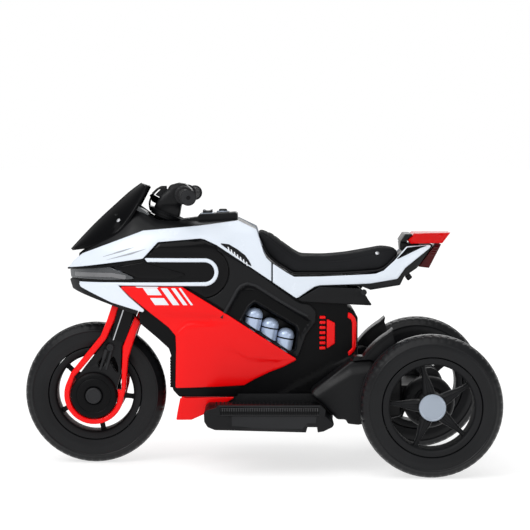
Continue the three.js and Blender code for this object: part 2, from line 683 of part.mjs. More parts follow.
const ROCKER = { x: -111, y: 19, z: 544.5, long: 20, wide: 13, tall: 9, play: 1.3 };
const HORN = { x: -78, r: 9, top: 550.5, foot: 541, play: 0.6 };
const rockerPocket = (y) =>
  box(
    [ROCKER.x - ROCKER.long / 2 - ROCKER.play, ROCKER.x + ROCKER.long / 2 + ROCKER.play],
    [y - ROCKER.wide / 2 - ROCKER.play, y + ROCKER.wide / 2 + ROCKER.play],
    [ROCKER.z - 8, 560],
  );
const hornPocket = rod([HORN.x, 0, HORN.foot - 4], [HORN.x, 0, 560], HORN.r + HORN.play, 20);
node(
  "top_cowl",
  cut(
    join(cowlShell, consoleBlock, screenPost(POST.y), screenPost(-POST.y)),
    riserSeat,
    stemPassage,
    rockerPocket(ROCKER.y),
    rockerPocket(-ROCKER.y),
    hornPocket,
  ),
  black,
);

const rocker = (y) =>
  box(
    [ROCKER.x - ROCKER.long / 2, ROCKER.x + ROCKER.long / 2],
    [y - ROCKER.wide / 2, y + ROCKER.wide / 2],
    [ROCKER.z - ROCKER.tall / 2, ROCKER.z + ROCKER.tall / 2],
  );
node("power_switch", rocker(-ROCKER.y), silver);
node("direction_switch", rocker(ROCKER.y), silver);
node("horn_button", rod([HORN.x, 0, HORN.foot], [HORN.x, 0, HORN.top], HORN.r, 20), red);

// ---- Windscreen ---------------------------------------------------------------------------------

const SCREEN_SHIFT = [2.2, -2.6]; // shift from the outer to the inner face of the screen
const screenRings = SCREEN_RIBS.map(([rx, rz, ex, ez, w]) => {
  const face = [
    [ex, -w, ez], [(rx + ex) / 2 - 3, -w * 0.55, (rz + ez) / 2 + 5], [rx, 0, rz],
    [(rx + ex) / 2 - 3, w * 0.55, (rz + ez) / 2 + 5], [ex, w, ez],
  ];
  const back = face.map(([x, y, z]) => [x + SCREEN_SHIFT[0], y, z + SCREEN_SHIFT[1]]).reverse();
  return [...face, ...back];
});
node("windscreen", loft(screenRings, true), smoke);

// ---- Seat and tail ------------------------------------------------------------------------------

const SEAT_HALF = [[-5, 72], [30, 78], [76, 86], [140, 88], [200, 84], [250, 74], [300, 56]];
const seatHalf = (x) => along(SEAT_HALF, x);
node("seat", between(SEAT, (x) => -seatHalf(x), (x) => seatHalf(x)), leather);

const wingSide = panel(WING, -2, 8);
const wingBack = across([[213, 350], [213, 383], [215, 383], [228, 366], [238, 350]], 2);
node("seat_support", join(wingSide, mirrored(wingSide), wingBack), black);

const tailCore = across(TAIL_CORE, WALL + 0.6);
const NECK_HALF = 38;
const SPOILER_HALF = 54;
const REFLECTOR_HALF = 36;
const spoiler = join(
  plate(SPOILER_NECK, -NECK_HALF, NECK_HALF),
  plate(SPOILER_BLOCK, -SPOILER_HALF, SPOILER_HALF),
);
node("tail_frame", join(tailCore, spoiler), black);
const lampRing = ([x, z], w) => [x, w, z];
const lampHalf = [52, 34, 40, 54, 54];
const lampLeft = TAIL_LIGHT.map((p, i) => lampRing(p, -lampHalf[i]));
const lampRight = TAIL_LIGHT.map((p, i) => lampRing(p, lampHalf[i]));
node("tail_light", loft([lampLeft, lampRight]), redLens);
node("reflector", plate(REFLECTOR, -REFLECTOR_HALF, REFLECTOR_HALF), darkLens);

// ---- Footboards, pedal and rear end -------------------------------------------------------------

const DECK = { in: PAN.half + GAP, out: 215, rim: 9 };
const DECK_RIM = [
  [-108, 130], [-108, 141], [-88, 146], [-84, 151.5], [129, 151], [138, 141], [136, 130],
];
const footboard = cut(
  join(plate(FOOTBOARD, DECK.in, DECK.out), plate(DECK_RIM, DECK.out - DECK.rim, DECK.out)),
  box([-120, -66], [80, 92], [90, 145]),
  plate(FOOTBOARD_HOLLOW, DECK.in + 8, DECK.out - 6),
);
pair("footboard", footboard, black);

const PEDAL = [[38, 145], [43, 149], [38, 153], [-42, 174], [-46, 171], [-42, 168]];
const PEDAL_Y = [124, 176];
node("pedal", plate(PEDAL, ...PEDAL_Y), black);

const CHEEK_Y = [100, 158];
const cheek = plate(POD, ...CHEEK_Y);
const cheekSpace = plate([[150, 172], [196, 222], [230, 227], [290, 206], [290, 128], [215, 112]], 99, 152);
const cheekHollow = cut(cheekSpace, box([212, 300], [90, 160], [128, 180]));
const beam = box([212, 385], [-CHEEK_Y[1], CHEEK_Y[1]], [130, 178]);
const beamHollow = box([222, 330], [-96, 96], [136, 190]);
const rearBore = rod([REAR.x, -170, REAR.r], [REAR.x, 170, REAR.r], AXLE_R + AXLE_PLAY);
const GEARBOX = { y: [113, 160], r: 54, play: 3, motorR: 19, motorIn: 62, rise: 50 };
const recessR = GEARBOX.r + GEARBOX.play;
const boxRecess = (y0, y1) => rod([REAR.x, y0, REAR.r], [REAR.x, y1, REAR.r], recessR, 24);
node(
  "rear_housing",
  cut(
    join(cheek, mirrored(cheek), beam),
    cheekHollow,
    mirrored(cheekHollow),
    beamHollow,
    boxRecess(112, 170),
    boxRecess(-170, -112),
    rearBore,
  ),
  black,
);

const motor = { x: REAR.x + 4, z: REAR.r + GEARBOX.rise };
const gearbox = cut(
  join(
    rod([REAR.x, GEARBOX.y[0], REAR.r], [REAR.x, GEARBOX.y[1], REAR.r], GEARBOX.r, 24),
    rod(
      [motor.x, GEARBOX.motorIn, motor.z],
      [motor.x, GEARBOX.y[0] + 8, motor.z],
      GEARBOX.motorR,
      14,
    ),
  ),
  rearBore,
);
pair("gearbox", gearbox, casing);
const REAR_AXLE_HALF = 234;
node("rear_axle", rod([REAR.x, -REAR_AXLE_HALF, REAR.r], [REAR.x, REAR_AXLE_HALF, REAR.r], AXLE_R), steel);

const GUARD = { in: 163, out: 170, from: 116.5, to: 146, y: [114, 166], footY: [118, 156] };
const guardFlap = [
  ...arc([REAR.x, REAR.r], GUARD.out, GUARD.from, GUARD.to, 7),
  ...arc([REAR.x, REAR.r], GUARD.in, GUARD.to, GUARD.from, 7),
];
const guardFoot = [[197, 236.6], [224, 239.3], [221, 246], [200, 246]];
const mudguard = join(plate(guardFlap, ...GUARD.y), plate(guardFoot, ...GUARD.footY));
pair("mudguard", mudguard, black);

// ---- Electric parts under the seat --------------------------------------------------------------

const CORE_FLOOR = 164 + GAP;
node("battery", box([80, 180], [-35, 35], [CORE_FLOOR, 270]), casing);
node("control_box", box([-60, 20], [-30, 30], [CORE_FLOOR, 200]), casing);

export default object;
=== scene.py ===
import math

import bmesh
import bpy
import numpy as np
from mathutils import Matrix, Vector, geometry


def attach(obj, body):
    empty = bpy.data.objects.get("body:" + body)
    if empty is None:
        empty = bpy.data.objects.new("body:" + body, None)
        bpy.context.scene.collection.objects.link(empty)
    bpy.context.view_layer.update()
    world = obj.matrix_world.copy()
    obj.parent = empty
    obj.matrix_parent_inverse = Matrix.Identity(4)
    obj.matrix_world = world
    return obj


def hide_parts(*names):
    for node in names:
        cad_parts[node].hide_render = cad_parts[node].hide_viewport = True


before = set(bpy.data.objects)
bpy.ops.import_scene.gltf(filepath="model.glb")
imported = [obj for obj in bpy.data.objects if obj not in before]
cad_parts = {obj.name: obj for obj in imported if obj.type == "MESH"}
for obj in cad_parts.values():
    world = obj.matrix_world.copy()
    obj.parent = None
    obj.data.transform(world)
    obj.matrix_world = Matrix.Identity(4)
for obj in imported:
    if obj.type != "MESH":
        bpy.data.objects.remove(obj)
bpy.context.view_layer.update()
MM = 0.001
SIDES = (("right", 1), ("left", -1))

# ---- The bodywork's skin, in millimetres -------------------------------------------------------

FRONT_X, FRONT_R = -354.25, 152.5
REAR_X, REAR_R, REAR_TRACK = 357.75, 149.0, 205.0
RAKE = math.radians(22.2)


class Table:
    """A smooth curve through a few points that never overshoots them."""

    def __init__(self, points):
        self.x, self.y = np.array(points, float).T
        step = np.diff(self.y) / np.diff(self.x)
        a, b = step[:-1], step[1:]
        inner = np.where(a * b > 0, 2 * a * b / (a + b + 1e-12), 0)
        self.slope = np.concatenate([step[:1], inner, step[-1:]])

    def __call__(self, x):
        x = np.clip(np.asarray(x, float), self.x[0], self.x[-1])
        i = np.clip(np.searchsorted(self.x, x) - 1, 0, len(self.x) - 2)
        width = self.x[i + 1] - self.x[i]
        t = (x - self.x[i]) / width
        a, b = self.y[i], self.y[i + 1]
        return (
            a * (1 + 2 * t) * (1 - t) ** 2
            + self.slope[i] * width * t * (1 - t) ** 2
            + b * t * t * (3 - 2 * t)
            + self.slope[i + 1] * width * t * t * (t - 1)
        )


PLAN = Table([
    (-415, 12), (-410, 17), (-406, 23), (-400, 32), (-390, 46), (-370, 66), (-340, 82), (-300, 94),
    (-260, 102), (-220, 107), (-180, 110), (-100, 112), (-20, 108), (60, 100), (120, 96), (200, 92),
    (240, 84), (300, 68), (380, 46), (420, 40),
])
SHOULDER = Table([
    (-410, 436), (-371, 458), (-246, 507), (-125, 520), (-44, 530), (20, 520), (100, 480), (200, 460),
    (260, 455), (316, 473), (420, 479),
])
SHOULDER_DEPTH, SHOULDER_TUCK = 70, 0.2
BELLY_TOP, BELLY_DEPTH, BELLY_TUCK = 400, 300, 0.24


def half_width(x, z):
    drop = np.maximum(SHOULDER(x) - z, -10)
    shoulder = 1 - SHOULDER_TUCK * np.maximum(0, 1 - drop / SHOULDER_DEPTH) ** 2
    depth = np.clip((BELLY_TOP - np.asarray(z, float)) / BELLY_DEPTH, 0, 1)
    return PLAN(x) * shoulder * (1 - BELLY_TUCK * depth**1.5)


# ---- Outline tools ------------------------------------------------------------------------------


def arc(centre, r, start, stop, steps):
    turns = np.radians(np.linspace(start, stop, steps + 1))
    return [(centre[0] + r * math.cos(a), centre[1] + r * math.sin(a)) for a in turns]


def area_of(ring):
    p = np.array([q[:2] for q in ring])
    nxt = np.roll(p, -1, axis=0)
    return 0.5 * float(np.sum(p[:, 0] * nxt[:, 1] - nxt[:, 0] * p[:, 1]))


def rounded(outline, radius):
    """The outline with its corners rounded; a third value at a corner is that corner's own radius."""
    count = len(outline)
    ring = []
    for i, corner in enumerate(outline):
        p = Vector(corner[:2])
        before, after = Vector(outline[i - 1][:2]) - p, Vector(outline[(i + 1) % count][:2]) - p
        r = corner[2] if len(corner) > 2 else radius
        if before.length < 1e-6 or after.length < 1e-6:
            continue
        angle = before.angle(after)
        if r <= 0 or angle > math.radians(168):
            ring.append(tuple(p))
            continue
        reach = min(r / math.tan(angle / 2), 0.45 * before.length, 0.45 * after.length)
        a, b = p + before.normalized() * reach, p + after.normalized() * reach
        steps = max(2, int((math.pi - angle) / 0.35))
        for k in range(steps + 1):
            t = k / steps
            ring.append(tuple(a.lerp(p, t).lerp(p.lerp(b, t), t)))
    return ring


def resampled(ring, spacing):
    out = []
    for i, p in enumerate(ring):
        a, b = Vector(p[:2]), Vector(ring[(i + 1) % len(ring)][:2])
        if (b - a).length < 1e-4:
            continue
        steps = max(1, math.ceil((b - a).length / spacing))
        out += [tuple(a.lerp(b, k / steps)) for k in range(steps)]
    return out if area_of(out) > 0 else out[::-1]


def inset(ring, distance):
    p = np.array(ring)
    ahead, behind = np.roll(p, -1, axis=0) - p, p - np.roll(p, 1, axis=0)
    n1 = np.stack([-ahead[:, 1], ahead[:, 0]], 1) / np.linalg.norm(ahead, axis=1)[:, None]
    n2 = np.stack([-behind[:, 1], behind[:, 0]], 1) / np.linalg.norm(behind, axis=1)[:, None]
    both = (n1 + n2) / np.maximum(1 + np.sum(n1 * n2, axis=1), 0.35)[:, None]
    return p + both * distance


def inside(points, ring):
    points, ring = np.asarray(points, float), np.array([p[:2] for p in ring], float)
    hit = np.zeros(len(points), bool)
    a, b = ring, np.roll(ring, -1, axis=0)
    for (x0, z0), (x1, z1) in zip(a, b):
        if z0 == z1:
            continue
        crosses = (points[:, 1] > min(z0, z1)) & (points[:, 1] <= max(z0, z1))
        at = x0 + (points[:, 1] - z0) * (x1 - x0) / (z1 - z0)
        hit ^= crosses & (points[:, 0] < at)
    return hit


def distance_to(points, line, closed=True):
    """How far each point is from a line of points."""
    points, line = np.asarray(points, float), np.array([p[:2] for p in line], float)
    ends = np.roll(line, -1, axis=0) if closed else line[1:]
    starts = line if closed else line[:-1]
    best = np.full(len(points), 1e9)
    for a, b in zip(starts, ends):
        way = b - a
        t = np.clip(((points - a) @ way) / max(way @ way, 1e-9), 0, 1)
        best = np.minimum(best, np.linalg.norm(points - a - t[:, None] * way, axis=1))
    return best


def ribbon(line, width):
    """The outline of a band of that width along a line of points."""
    path = np.array(line, float)
    way = np.gradient(path, axis=0)
    side = np.stack([-way[:, 1], way[:, 0]], 1) / np.linalg.norm(way, axis=1)[:, None]
    return [tuple(p) for p in path + side * width / 2] + [tuple(p) for p in (path - side * width / 2)[::-1]]


def smoothstep(low, high, value):
    t = np.clip((value - low) / (high - low), 0, 1)
    return t * t * (3 - 2 * t)


# ---- Mesh tools ---------------------------------------------------------------------------------


def shade(mesh, sharp):
    mesh.polygons.foreach_set("use_smooth", [True] * len(mesh.polygons))
    mesh.set_sharp_from_angle(angle=math.radians(sharp))


def new_object(name, made, weld):
    """An object from points in millimetres and their faces."""
    verts, faces = made
    mesh = bpy.data.meshes.new(name)
    mesh.from_pydata([[c * MM for c in v] for v in verts], [], faces)
    bm = bmesh.new()
    bm.from_mesh(mesh)
    if weld:
        bmesh.ops.remove_doubles(bm, verts=bm.verts, dist=1e-6)
    bmesh.ops.recalc_face_normals(bm, faces=bm.faces)
    bm.to_mesh(mesh)
    bm.free()
    obj = bpy.data.objects.new(name, mesh)
    bpy.context.scene.collection.objects.link(obj)
    return obj


def piece(name, made, look, body="body", node=None, sharp=35):
    """A visual piece: it rides on a body, and may stand for a CAD node."""
    obj = new_object(name, made, weld=True)
    shade(obj.data, sharp)
    material, slot = look
    obj.data.materials.append(material)
    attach(obj, body)
    if node:
        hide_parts(node)
    return obj


def mirrored(made, sign=-1):
    verts, faces = made
    return [(x, sign * y, z) for x, y, z in verts], faces


def pair(name, made, look, body="body", node=None, sharp=35):
    """The piece on each side; the side's name ends the CAD node's too, and fills {side} in a body's."""
    both = []
    for side, sign in SIDES:
        own_node = node and f"{node}_{side}"
        both.append(piece(f"{name}_{side}", mirrored(made, sign), look, body.format(side=side), own_node,
                          sharp))
    return both


def plane_faces(ring, holes, spacing, creases=()):
    """The flat inside of a ring as points and triangles; the ring's points come first."""
    borders = [np.array(ring), *[np.array(h) for h in holes]]
    points, edges = [], []
    for line, closed in [(b, True) for b in borders] + [(c, False) for c in creases]:
        first, count = len(points), len(line)
        points += [tuple(p) for p in line]
        edges += [(first + i, first + (i + 1) % count) for i in range(count if closed else count - 1)]
    low, high = borders[0].min(axis=0), borders[0].max(axis=0)
    xs = np.arange(low[0] + spacing * 0.37, high[0], spacing)
    zs = np.arange(low[1] + spacing * 0.41, high[1], spacing)
    lattice = np.stack(np.meshgrid(xs, zs), -1).reshape(-1, 2)
    keep = inside(lattice, ring)
    for border in borders:
        keep &= distance_to(lattice, border) > spacing * 0.45
    for line in creases:
        keep &= distance_to(lattice, line, closed=False) > spacing * 0.4
    for hole in holes:
        keep &= ~inside(lattice, hole)
    points += [tuple(p) for p in lattice[keep]]
    out = geometry.delaunay_2d_cdt([Vector(p) for p in points], edges, [], 1, 1e-5)
    flat = np.array([tuple(v) for v in out[0]])
    faces = [tuple(f) for f in out[2]]
    for hole in holes:
        gone = inside([flat[list(f)].mean(axis=0) for f in faces], hole)
        faces = [f for f, g in zip(faces, gone) if not g]
    return flat, faces


def grid_faces(rows, count, around=True, looped=False):
    """The faces between rows of points. Around closes each row; looped joins the last row to the first."""
    faces = []
    for i in range(rows if looped else rows - 1):
        a, b = i * count, (i + 1) % rows * count
        for j in range(count if around else count - 1):
            k = (j + 1) % count
            faces.append((a + j, a + k, b + k, b + j))
    return faces


def grid_solid(rows):
    """A closed solid over rows of points, each row a closed ring."""
    count, last = len(rows[0]), len(rows) - 1
    ends = [tuple(range(count)), tuple(last * count + j for j in range(count))]
    return [tuple(p) for row in rows for p in row], grid_faces(len(rows), count) + ends


EDGE_STEPS = (0.0, 0.12, 0.45, 1.0)


def skin_shell(outline, depth=0.0, thickness=4.0, edge=2.0, relief=None, holes=(), creases=(), spacing=8.0,
               radius=4.0, across=False, skin=half_width):
    """A panel over an outline in the XZ plane, on the rider's right, with rolled edges.

    The relief is a function of (x, z) that lifts the outer face. With across, the panel is one half
    of a block that runs to the middle of the object.
    """
    verts, faces = [], []

    def add(ring, drop):
        ring = np.asarray(ring, float)
        y = skin(ring[:, 0], ring[:, 1]) - depth - drop
        if relief:
            y = y + relief(ring[:, 0], ring[:, 1])
        verts.extend((x, max(w, 0.0), z) for (x, z), w in zip(ring, y))
        return len(verts) - len(ring)

    def strip(a, b, count):
        for i in range(count):
            j = (i + 1) % count
            faces.append((a + i, a + j, b + j, b + i))

    borders = [resampled(rounded(outline, radius), spacing * 0.75)]
    borders += [resampled(rounded(h, radius), spacing * 0.75)[::-1] for h in holes]
    for border in borders:
        starts = []
        for step in EDGE_STEPS:
            drop = edge - math.sqrt(max(0.0, edge**2 - (edge * (1 - step)) ** 2))
            starts.append(add(inset(border, edge * step), drop))
        for a, b in zip(starts, starts[1:]):
            strip(a, b, len(border))
        if across:
            foot = len(verts)
            verts.extend((x, 0.0, z) for x, z in border)
        else:
            foot = add(border, thickness)
        strip(starts[0], foot, len(border))
    levels = [(0.0, [inset(border, edge) for border in borders], spacing, creases)]
    if not across:
        levels.append((thickness, borders, spacing * 2, ()))
    for level, rings, apart, lines in levels:
        flat, tris = plane_faces(rings[0], rings[1:], apart, lines)
        start = add(flat, level)
        faces.extend(tuple(start + i for i in f) for f in tris)
    return verts, faces


def merged(*parts):
    verts, faces = [], []
    for v, f in parts:
        start = len(verts)
        verts += list(v)
        faces += [tuple(start + i for i in face) for face in f]
    return verts, faces


def skin_pair(name, look, outline, node=None, **kwargs):
    """A skin panel on each side of the object."""
    return pair(name, skin_shell(outline, **kwargs), look, node=node)


def block(name, look, outline, body="body", node=None, **kwargs):
    """A solid right across the object whose sides follow the skin."""
    half = skin_shell(outline, across=True, **kwargs)
    return piece(name, merged(half, mirrored(half)), look, body, node)


def lathe(profile, x, z, y=0.0, segments=96):
    """A closed ring of (radius, sideways) points turned round a line parallel to Y."""
    turns = [2 * math.pi * i / segments for i in range(segments)]
    verts = [(x + r * math.cos(a), y + side, z + r * math.sin(a)) for a in turns for r, side in profile]
    return verts, grid_faces(segments, len(profile), looped=True)


def spun(profile, base, way, segments=48):
    """A profile of (radius, distance along) turned round a line from a point."""
    way = Vector(way).normalized()
    u = way.orthogonal().normalized()
    v = way.cross(u)
    verts = []
    for i in range(segments):
        a = 2 * math.pi * i / segments
        out = u * math.cos(a) + v * math.sin(a)
        verts += [tuple(Vector(base) + way * t + out * r) for r, t in profile]
    return verts, grid_faces(segments, len(profile), around=False, looped=True)


def rod(r, start, stop, base, way, segments=48):
    """A plain round bar from start to stop along a line."""
    return spun([(0.01, start), (r, start), (r, stop), (0.01, stop)], base, way, segments)


def tube(points, r, steps, sides, taper=None):
    """A round tube along a curve through points in space, closed at its ends."""
    p = np.array(points, float)
    t = np.concatenate([[0], np.cumsum(np.linalg.norm(np.diff(p, axis=0), axis=1))])
    at = np.linspace(0, t[-1], steps + 1)
    line = np.stack([Table(list(zip(t, p[:, k])))(at) for k in range(3)], axis=1)
    turns = [2 * math.pi * j / sides for j in range(sides)]
    rows, side = [], None
    for i, c in enumerate(line):
        way = Vector(line[min(i + 1, steps)] - line[max(i - 1, 0)]).normalized()
        if side is None:
            side = way.orthogonal().normalized()
        side = (side - way * side.dot(way)).normalized()
        other = way.cross(side)
        size = r * (taper(i / steps) if taper else 1)
        rows.append([Vector(c) + side * size * math.cos(a) + other * size * math.sin(a) for a in turns])
    return grid_solid(rows)


def prism(outline, y0, y1, radius=3.0):
    """A flat outline in the XZ plane carried from y0 to y1."""
    ring = resampled(rounded(outline, radius), 50.0)
    verts = [(x, y, z) for y in (y0, y1) for x, z in ring]
    faces = grid_faces(2, len(ring))
    flat, tris = plane_faces(ring, (), 1000.0)
    for y in (y0, y1):
        start = len(verts)
        verts += [(x, y, z) for x, z in flat]
        faces += [tuple(start + i for i in f) for f in tris]
    return verts, faces


def add_modifier(obj, kind, **settings):
    mod = obj.modifiers.new(kind.lower(), kind)
    for key, value in settings.items():
        setattr(mod, key, value)
    return mod


def applied(obj, sharp=35):
    """The object's modifiers worked into its mesh."""
    graph = bpy.context.evaluated_depsgraph_get()
    mesh = bpy.data.meshes.new_from_object(obj.evaluated_get(graph))
    old = obj.data
    obj.modifiers.clear()
    obj.data = mesh
    bpy.data.meshes.remove(old)
    shade(mesh, sharp)
    return obj


def bevelled(obj, width):
    """The object with its sharp edges rounded."""
    add_modifier(obj, "BEVEL", width=width * MM, segments=3, limit_method="ANGLE",
                 angle_limit=math.radians(30))
    return applied(obj)


def carve(obj, made, sharp=35):
    """The object less a closed tool."""
    tool = new_object("tool", made, weld=False)
    add_modifier(obj, "BOOLEAN", operation="DIFFERENCE", object=tool, solver="EXACT")
    applied(obj, sharp)
    mesh = tool.data
    bpy.data.objects.remove(tool)
    bpy.data.meshes.remove(mesh)


def on_axis(s):
    """The point s up the steering axis from the front axle."""
    return Vector((FRONT_X + s * math.sin(RAKE), 0, FRONT_R + s * math.cos(RAKE)))


def axis_rod(r, start, stop, segments):
    """A plain round bar along the steering axis."""
    return rod(r, 0, stop - start, on_axis(start), on_axis(stop) - on_axis(start), segments)


def points_of(x, z):
    return np.stack([x, z], 1)


def height_on(line, x):
    """The height of a line of points at x."""
    return np.interp(x, *zip(*line))


# ---- Finishes -----------------------------------------------------------------------------------


def set_sockets(node, **values):
    """Sets numbers on a node's sockets; an underscore in a name stands for a space."""
    for name, value in values.items():
        node.inputs[name.replace("_", " ")].default_value = value


def finish(slot, colour, roughness, *, spread=0.05, grain=700.0, relief=0.00012, bump=0.12, vary=0.05,
           cells=None, **sockets):
    """A moulded or coated surface: its colour drifts a little, and its sheen breaks up in fine grain."""
    material = bpy.data.materials.new(slot)
    material.use_nodes = True
    tree = material.node_tree
    shader = tree.nodes["Principled BSDF"]
    link = tree.links.new

    def added(kind, **values):
        node = tree.nodes.new("ShaderNode" + kind)
        set_sockets(node, **values)
        return node

    place = added("TexCoord").outputs["Object"]

    def noise(scale, detail):
        node = added("TexNoise", Scale=scale, Detail=detail)
        link(place, node.inputs["Vector"])
        return node.outputs["Fac"]

    drift = added("ValToRGB")
    for stop, share, at in zip(drift.color_ramp.elements, (1 - vary, 1 + vary), (0.35, 0.65)):
        stop.color = (*[min(1, c * share) for c in colour], 1)
        stop.position = at
    link(noise(9.0, 4.0), drift.inputs["Fac"])
    link(drift.outputs["Color"], shader.inputs["Base Color"])
    low, high = max(0.02, roughness - spread), min(1.0, roughness + spread)
    sheen = added("MapRange", From_Min=0.3, From_Max=0.7, To_Min=low, To_Max=high)
    link(noise(38.0, 6.0), sheen.inputs["Value"])
    link(sheen.outputs["Result"], shader.inputs["Roughness"])
    height = noise(grain, 3.0)
    if cells:
        skin = added("TexVoronoi")
        skin.feature = "DISTANCE_TO_EDGE"
        set_sockets(skin, Scale=cells)
        link(place, skin.inputs["Vector"])
        crease = added("MapRange", From_Max=0.12)
        link(skin.outputs["Distance"], crease.inputs["Value"])
        both = added("Math")
        both.operation = "ADD"
        link(crease.outputs["Result"], both.inputs[0])
        link(height, both.inputs[1])
        height = both.outputs["Value"]
    lift = added("Bump", Strength=bump, Distance=relief)
    link(height, lift.inputs["Height"])
    link(lift.outputs["Normal"], shader.inputs["Normal"])
    set_sockets(shader, **sockets)
    return material, slot


def plastic(slot, colour, roughness, specular, **kwargs):
    """A dull moulding with a fine grain."""
    looks = {"relief": 0.0002, "vary": 0.12, **kwargs}
    return finish(slot, colour, roughness, Specular_IOR_Level=specular, **looks)


def clear(slot, colour, roughness, specular, **kwargs):
    """A smooth lens or screen."""
    looks = {"spread": 0.05, "grain": 60, "bump": 0.05, **kwargs}
    return finish(slot, colour, roughness, Specular_IOR_Level=specular, **looks)


def silver(colour, roughness, **kwargs):
    """Silver paint on plastic."""
    looks = {"spread": 0.04, "grain": 600, "bump": 0.08, "vary": 0.04, "Metallic": 0.35, "Coat_Weight": 0.2}
    return finish("silver_trim", colour, roughness, **{**looks, **kwargs})


WHITE = finish("white_panel", (0.66, 0.715, 0.79), 0.24, grain=90, relief=0.0004, bump=0.03, vary=0.01,
               Specular_IOR_Level=0.42, Coat_Weight=0.3, Coat_Roughness=0.08)
RED = finish("red_panel", (0.80, 0.0014, 0.0022), 0.24, spread=0.01, grain=90, relief=0.0003, bump=0.02,
             vary=0.008, Specular_IOR_Level=0.17, Coat_Weight=0.08, Coat_Roughness=0.1)
BLACK = plastic("black_plastic", (0.0048, 0.0050, 0.0058), 0.36, 0.17, grain=1100, bump=0.16)
DEEP = plastic("black_plastic", (0.0026, 0.0027, 0.0031), 0.42, 0.09, grain=1100, bump=0.16)
CASING = plastic("dark_casing", (0.014, 0.0145, 0.016), 0.5, 0.2, grain=1000, bump=0.25)
GLOSS = finish("gloss_black", (0.0025, 0.0025, 0.003), 0.12, grain=120, relief=0.0003, bump=0.03, vary=0.1,
               Specular_IOR_Level=0.11, Coat_Weight=0.04, Coat_Roughness=0.04)
RUBBER = plastic("tyre", (0.0062, 0.0065, 0.0074), 0.34, 0.19, spread=0.06, grain=800, relief=0.0003,
                 bump=0.14, vary=0.2)
RIM = plastic("rim", (0.0068, 0.0071, 0.008), 0.52, 0.16, grain=900, vary=0.1)
GRIP = plastic("grip_rubber", (0.008, 0.008, 0.009), 0.6, 0.2, grain=1400, relief=0.0003, bump=0.35,
               vary=0.15)
STEEL = finish("steel", (0.5, 0.51, 0.53), 0.3, grain=500, bump=0.1, vary=0.08, Metallic=1.0)
SILVER = silver((0.30, 0.345, 0.41), 0.32)
CABLE = finish("cable", (0.006, 0.006, 0.0065), 0.5, grain=1500, bump=0.3, Specular_IOR_Level=0.3)
LENS = clear("clear_lens", (0.085, 0.092, 0.10), 0.08, 0.5, spread=0.03, vary=0.3, Transmission_Weight=0.4,
             IOR=1.49, Coat_Weight=0.2)
SMOKE = clear("smoked_screen", (0.0022, 0.0023, 0.0028), 0.14, 0.06, grain=70, relief=0.0003, bump=0.03,
              Transmission_Weight=0.04, IOR=1.42, Coat_Weight=0.015, Coat_Roughness=0.05)
RED_LENS = clear("red_lens", (0.60, 0.0010, 0.0016), 0.2, 0.07, spread=0.04, vary=0.06,
                 Transmission_Weight=0.03, IOR=1.49, Coat_Weight=0.02)
DARK_LENS = clear("dark_red_lens", (0.058, 0.0015, 0.0022), 0.2, 0.16, vary=0.1, Transmission_Weight=0.06,
                  IOR=1.49, Coat_Weight=0.05)
LEATHER = plastic("seat_leather", (0.0135, 0.0139, 0.0152), 0.72, 0.03, spread=0.07, grain=1800,
                  relief=0.00045, bump=0.26, cells=520)
CAN = silver((0.42, 0.51, 0.68), 0.32)
# A pale grey for the streak across the headlight glass: a painted highlight, not a lit lamp.
PAINTED_LENS_HIGHLIGHT = clear("clear_lens", (0.17, 0.172, 0.178), 0.3, 0.3, vary=0.2)
GREY_PLASTIC = plastic("dark_casing", (0.085, 0.085, 0.088), 0.5, 0.2, grain=1000, bump=0.2, vary=0.1)
GRAPHIC = finish("white_panel", (0.72, 0.74, 0.78), 0.3, grain=200, bump=0.04, vary=0.02)
GREY_MARK = finish("silver_trim", (0.30, 0.32, 0.36), 0.35, grain=300, bump=0.05, vary=0.05)

# ---- Wheels -------------------------------------------------------------------------------------

LUGS, LUG_STEPS, LUG_DEPTH = 54, 5, 1.5


def tyre_verts(x, r, half, rim_r, track=0.0):
    side = [
        (rim_r + 0.4, 0.86), (rim_r + 2.0, 0.93), (rim_r + 4.5, 0.945), (rim_r + 9, 0.965), (rim_r + 14, 1.0),
        (rim_r + 18, 1.01), (rim_r + 22, 1.0), (r - 19.5, 0.965), (r - 18.4, 0.995), (r - 16.6, 1.005),
        (r - 15.4, 0.985), (r - 14.4, 0.945), (r - 10, 0.87), (r - 6, 0.77), (r - 3.4, 0.66),
        (r - 1.8, 0.54), (r - 0.9, 0.40), (r - 0.9, 0.36), (r - 3.6, 0.34), (r - 3.6, 0.27), (r - 0.4, 0.25),
        (r - 0.1, 0.12),
    ]
    outer = [(a, -b * half) for a, b in side] + [(a, b * half) for a, b in reversed(side)]
    inner = [(rim_r + 0.4, 0.6), (r - 16, 0.8), (r - 14, 0), (r - 16, -0.8), (rim_r + 0.4, -0.6)]
    profile = outer + [(a, b * half) for a, b in inner]
    segments = LUGS * LUG_STEPS
    verts, faces = lathe(profile, x, r, track, segments)
    for i in range(segments):
        turn = 2 * math.pi * i / segments
        for j, (a, b) in enumerate(outer):
            lag = 2 if b > 0 else 0
            if a > r - 11 and abs(b) / half > 0.38 and (i + lag) % LUG_STEPS == 0:
                deep = a - LUG_DEPTH
                verts[i * len(profile) + j] = (x + deep * math.cos(turn), track + b,
                                               r + deep * math.sin(turn))
    return verts, faces


HALF_SPOKE = [(-1, -8), (-1, -2), (-0.86, 4), (-0.5, 7.6), (-0.30, 8), (-0.18, 6.4)]
SPOKE = HALF_SPOKE + [(-a, b) for a, b in reversed(HALF_SPOKE)]
SPOKE_FOOT = 22


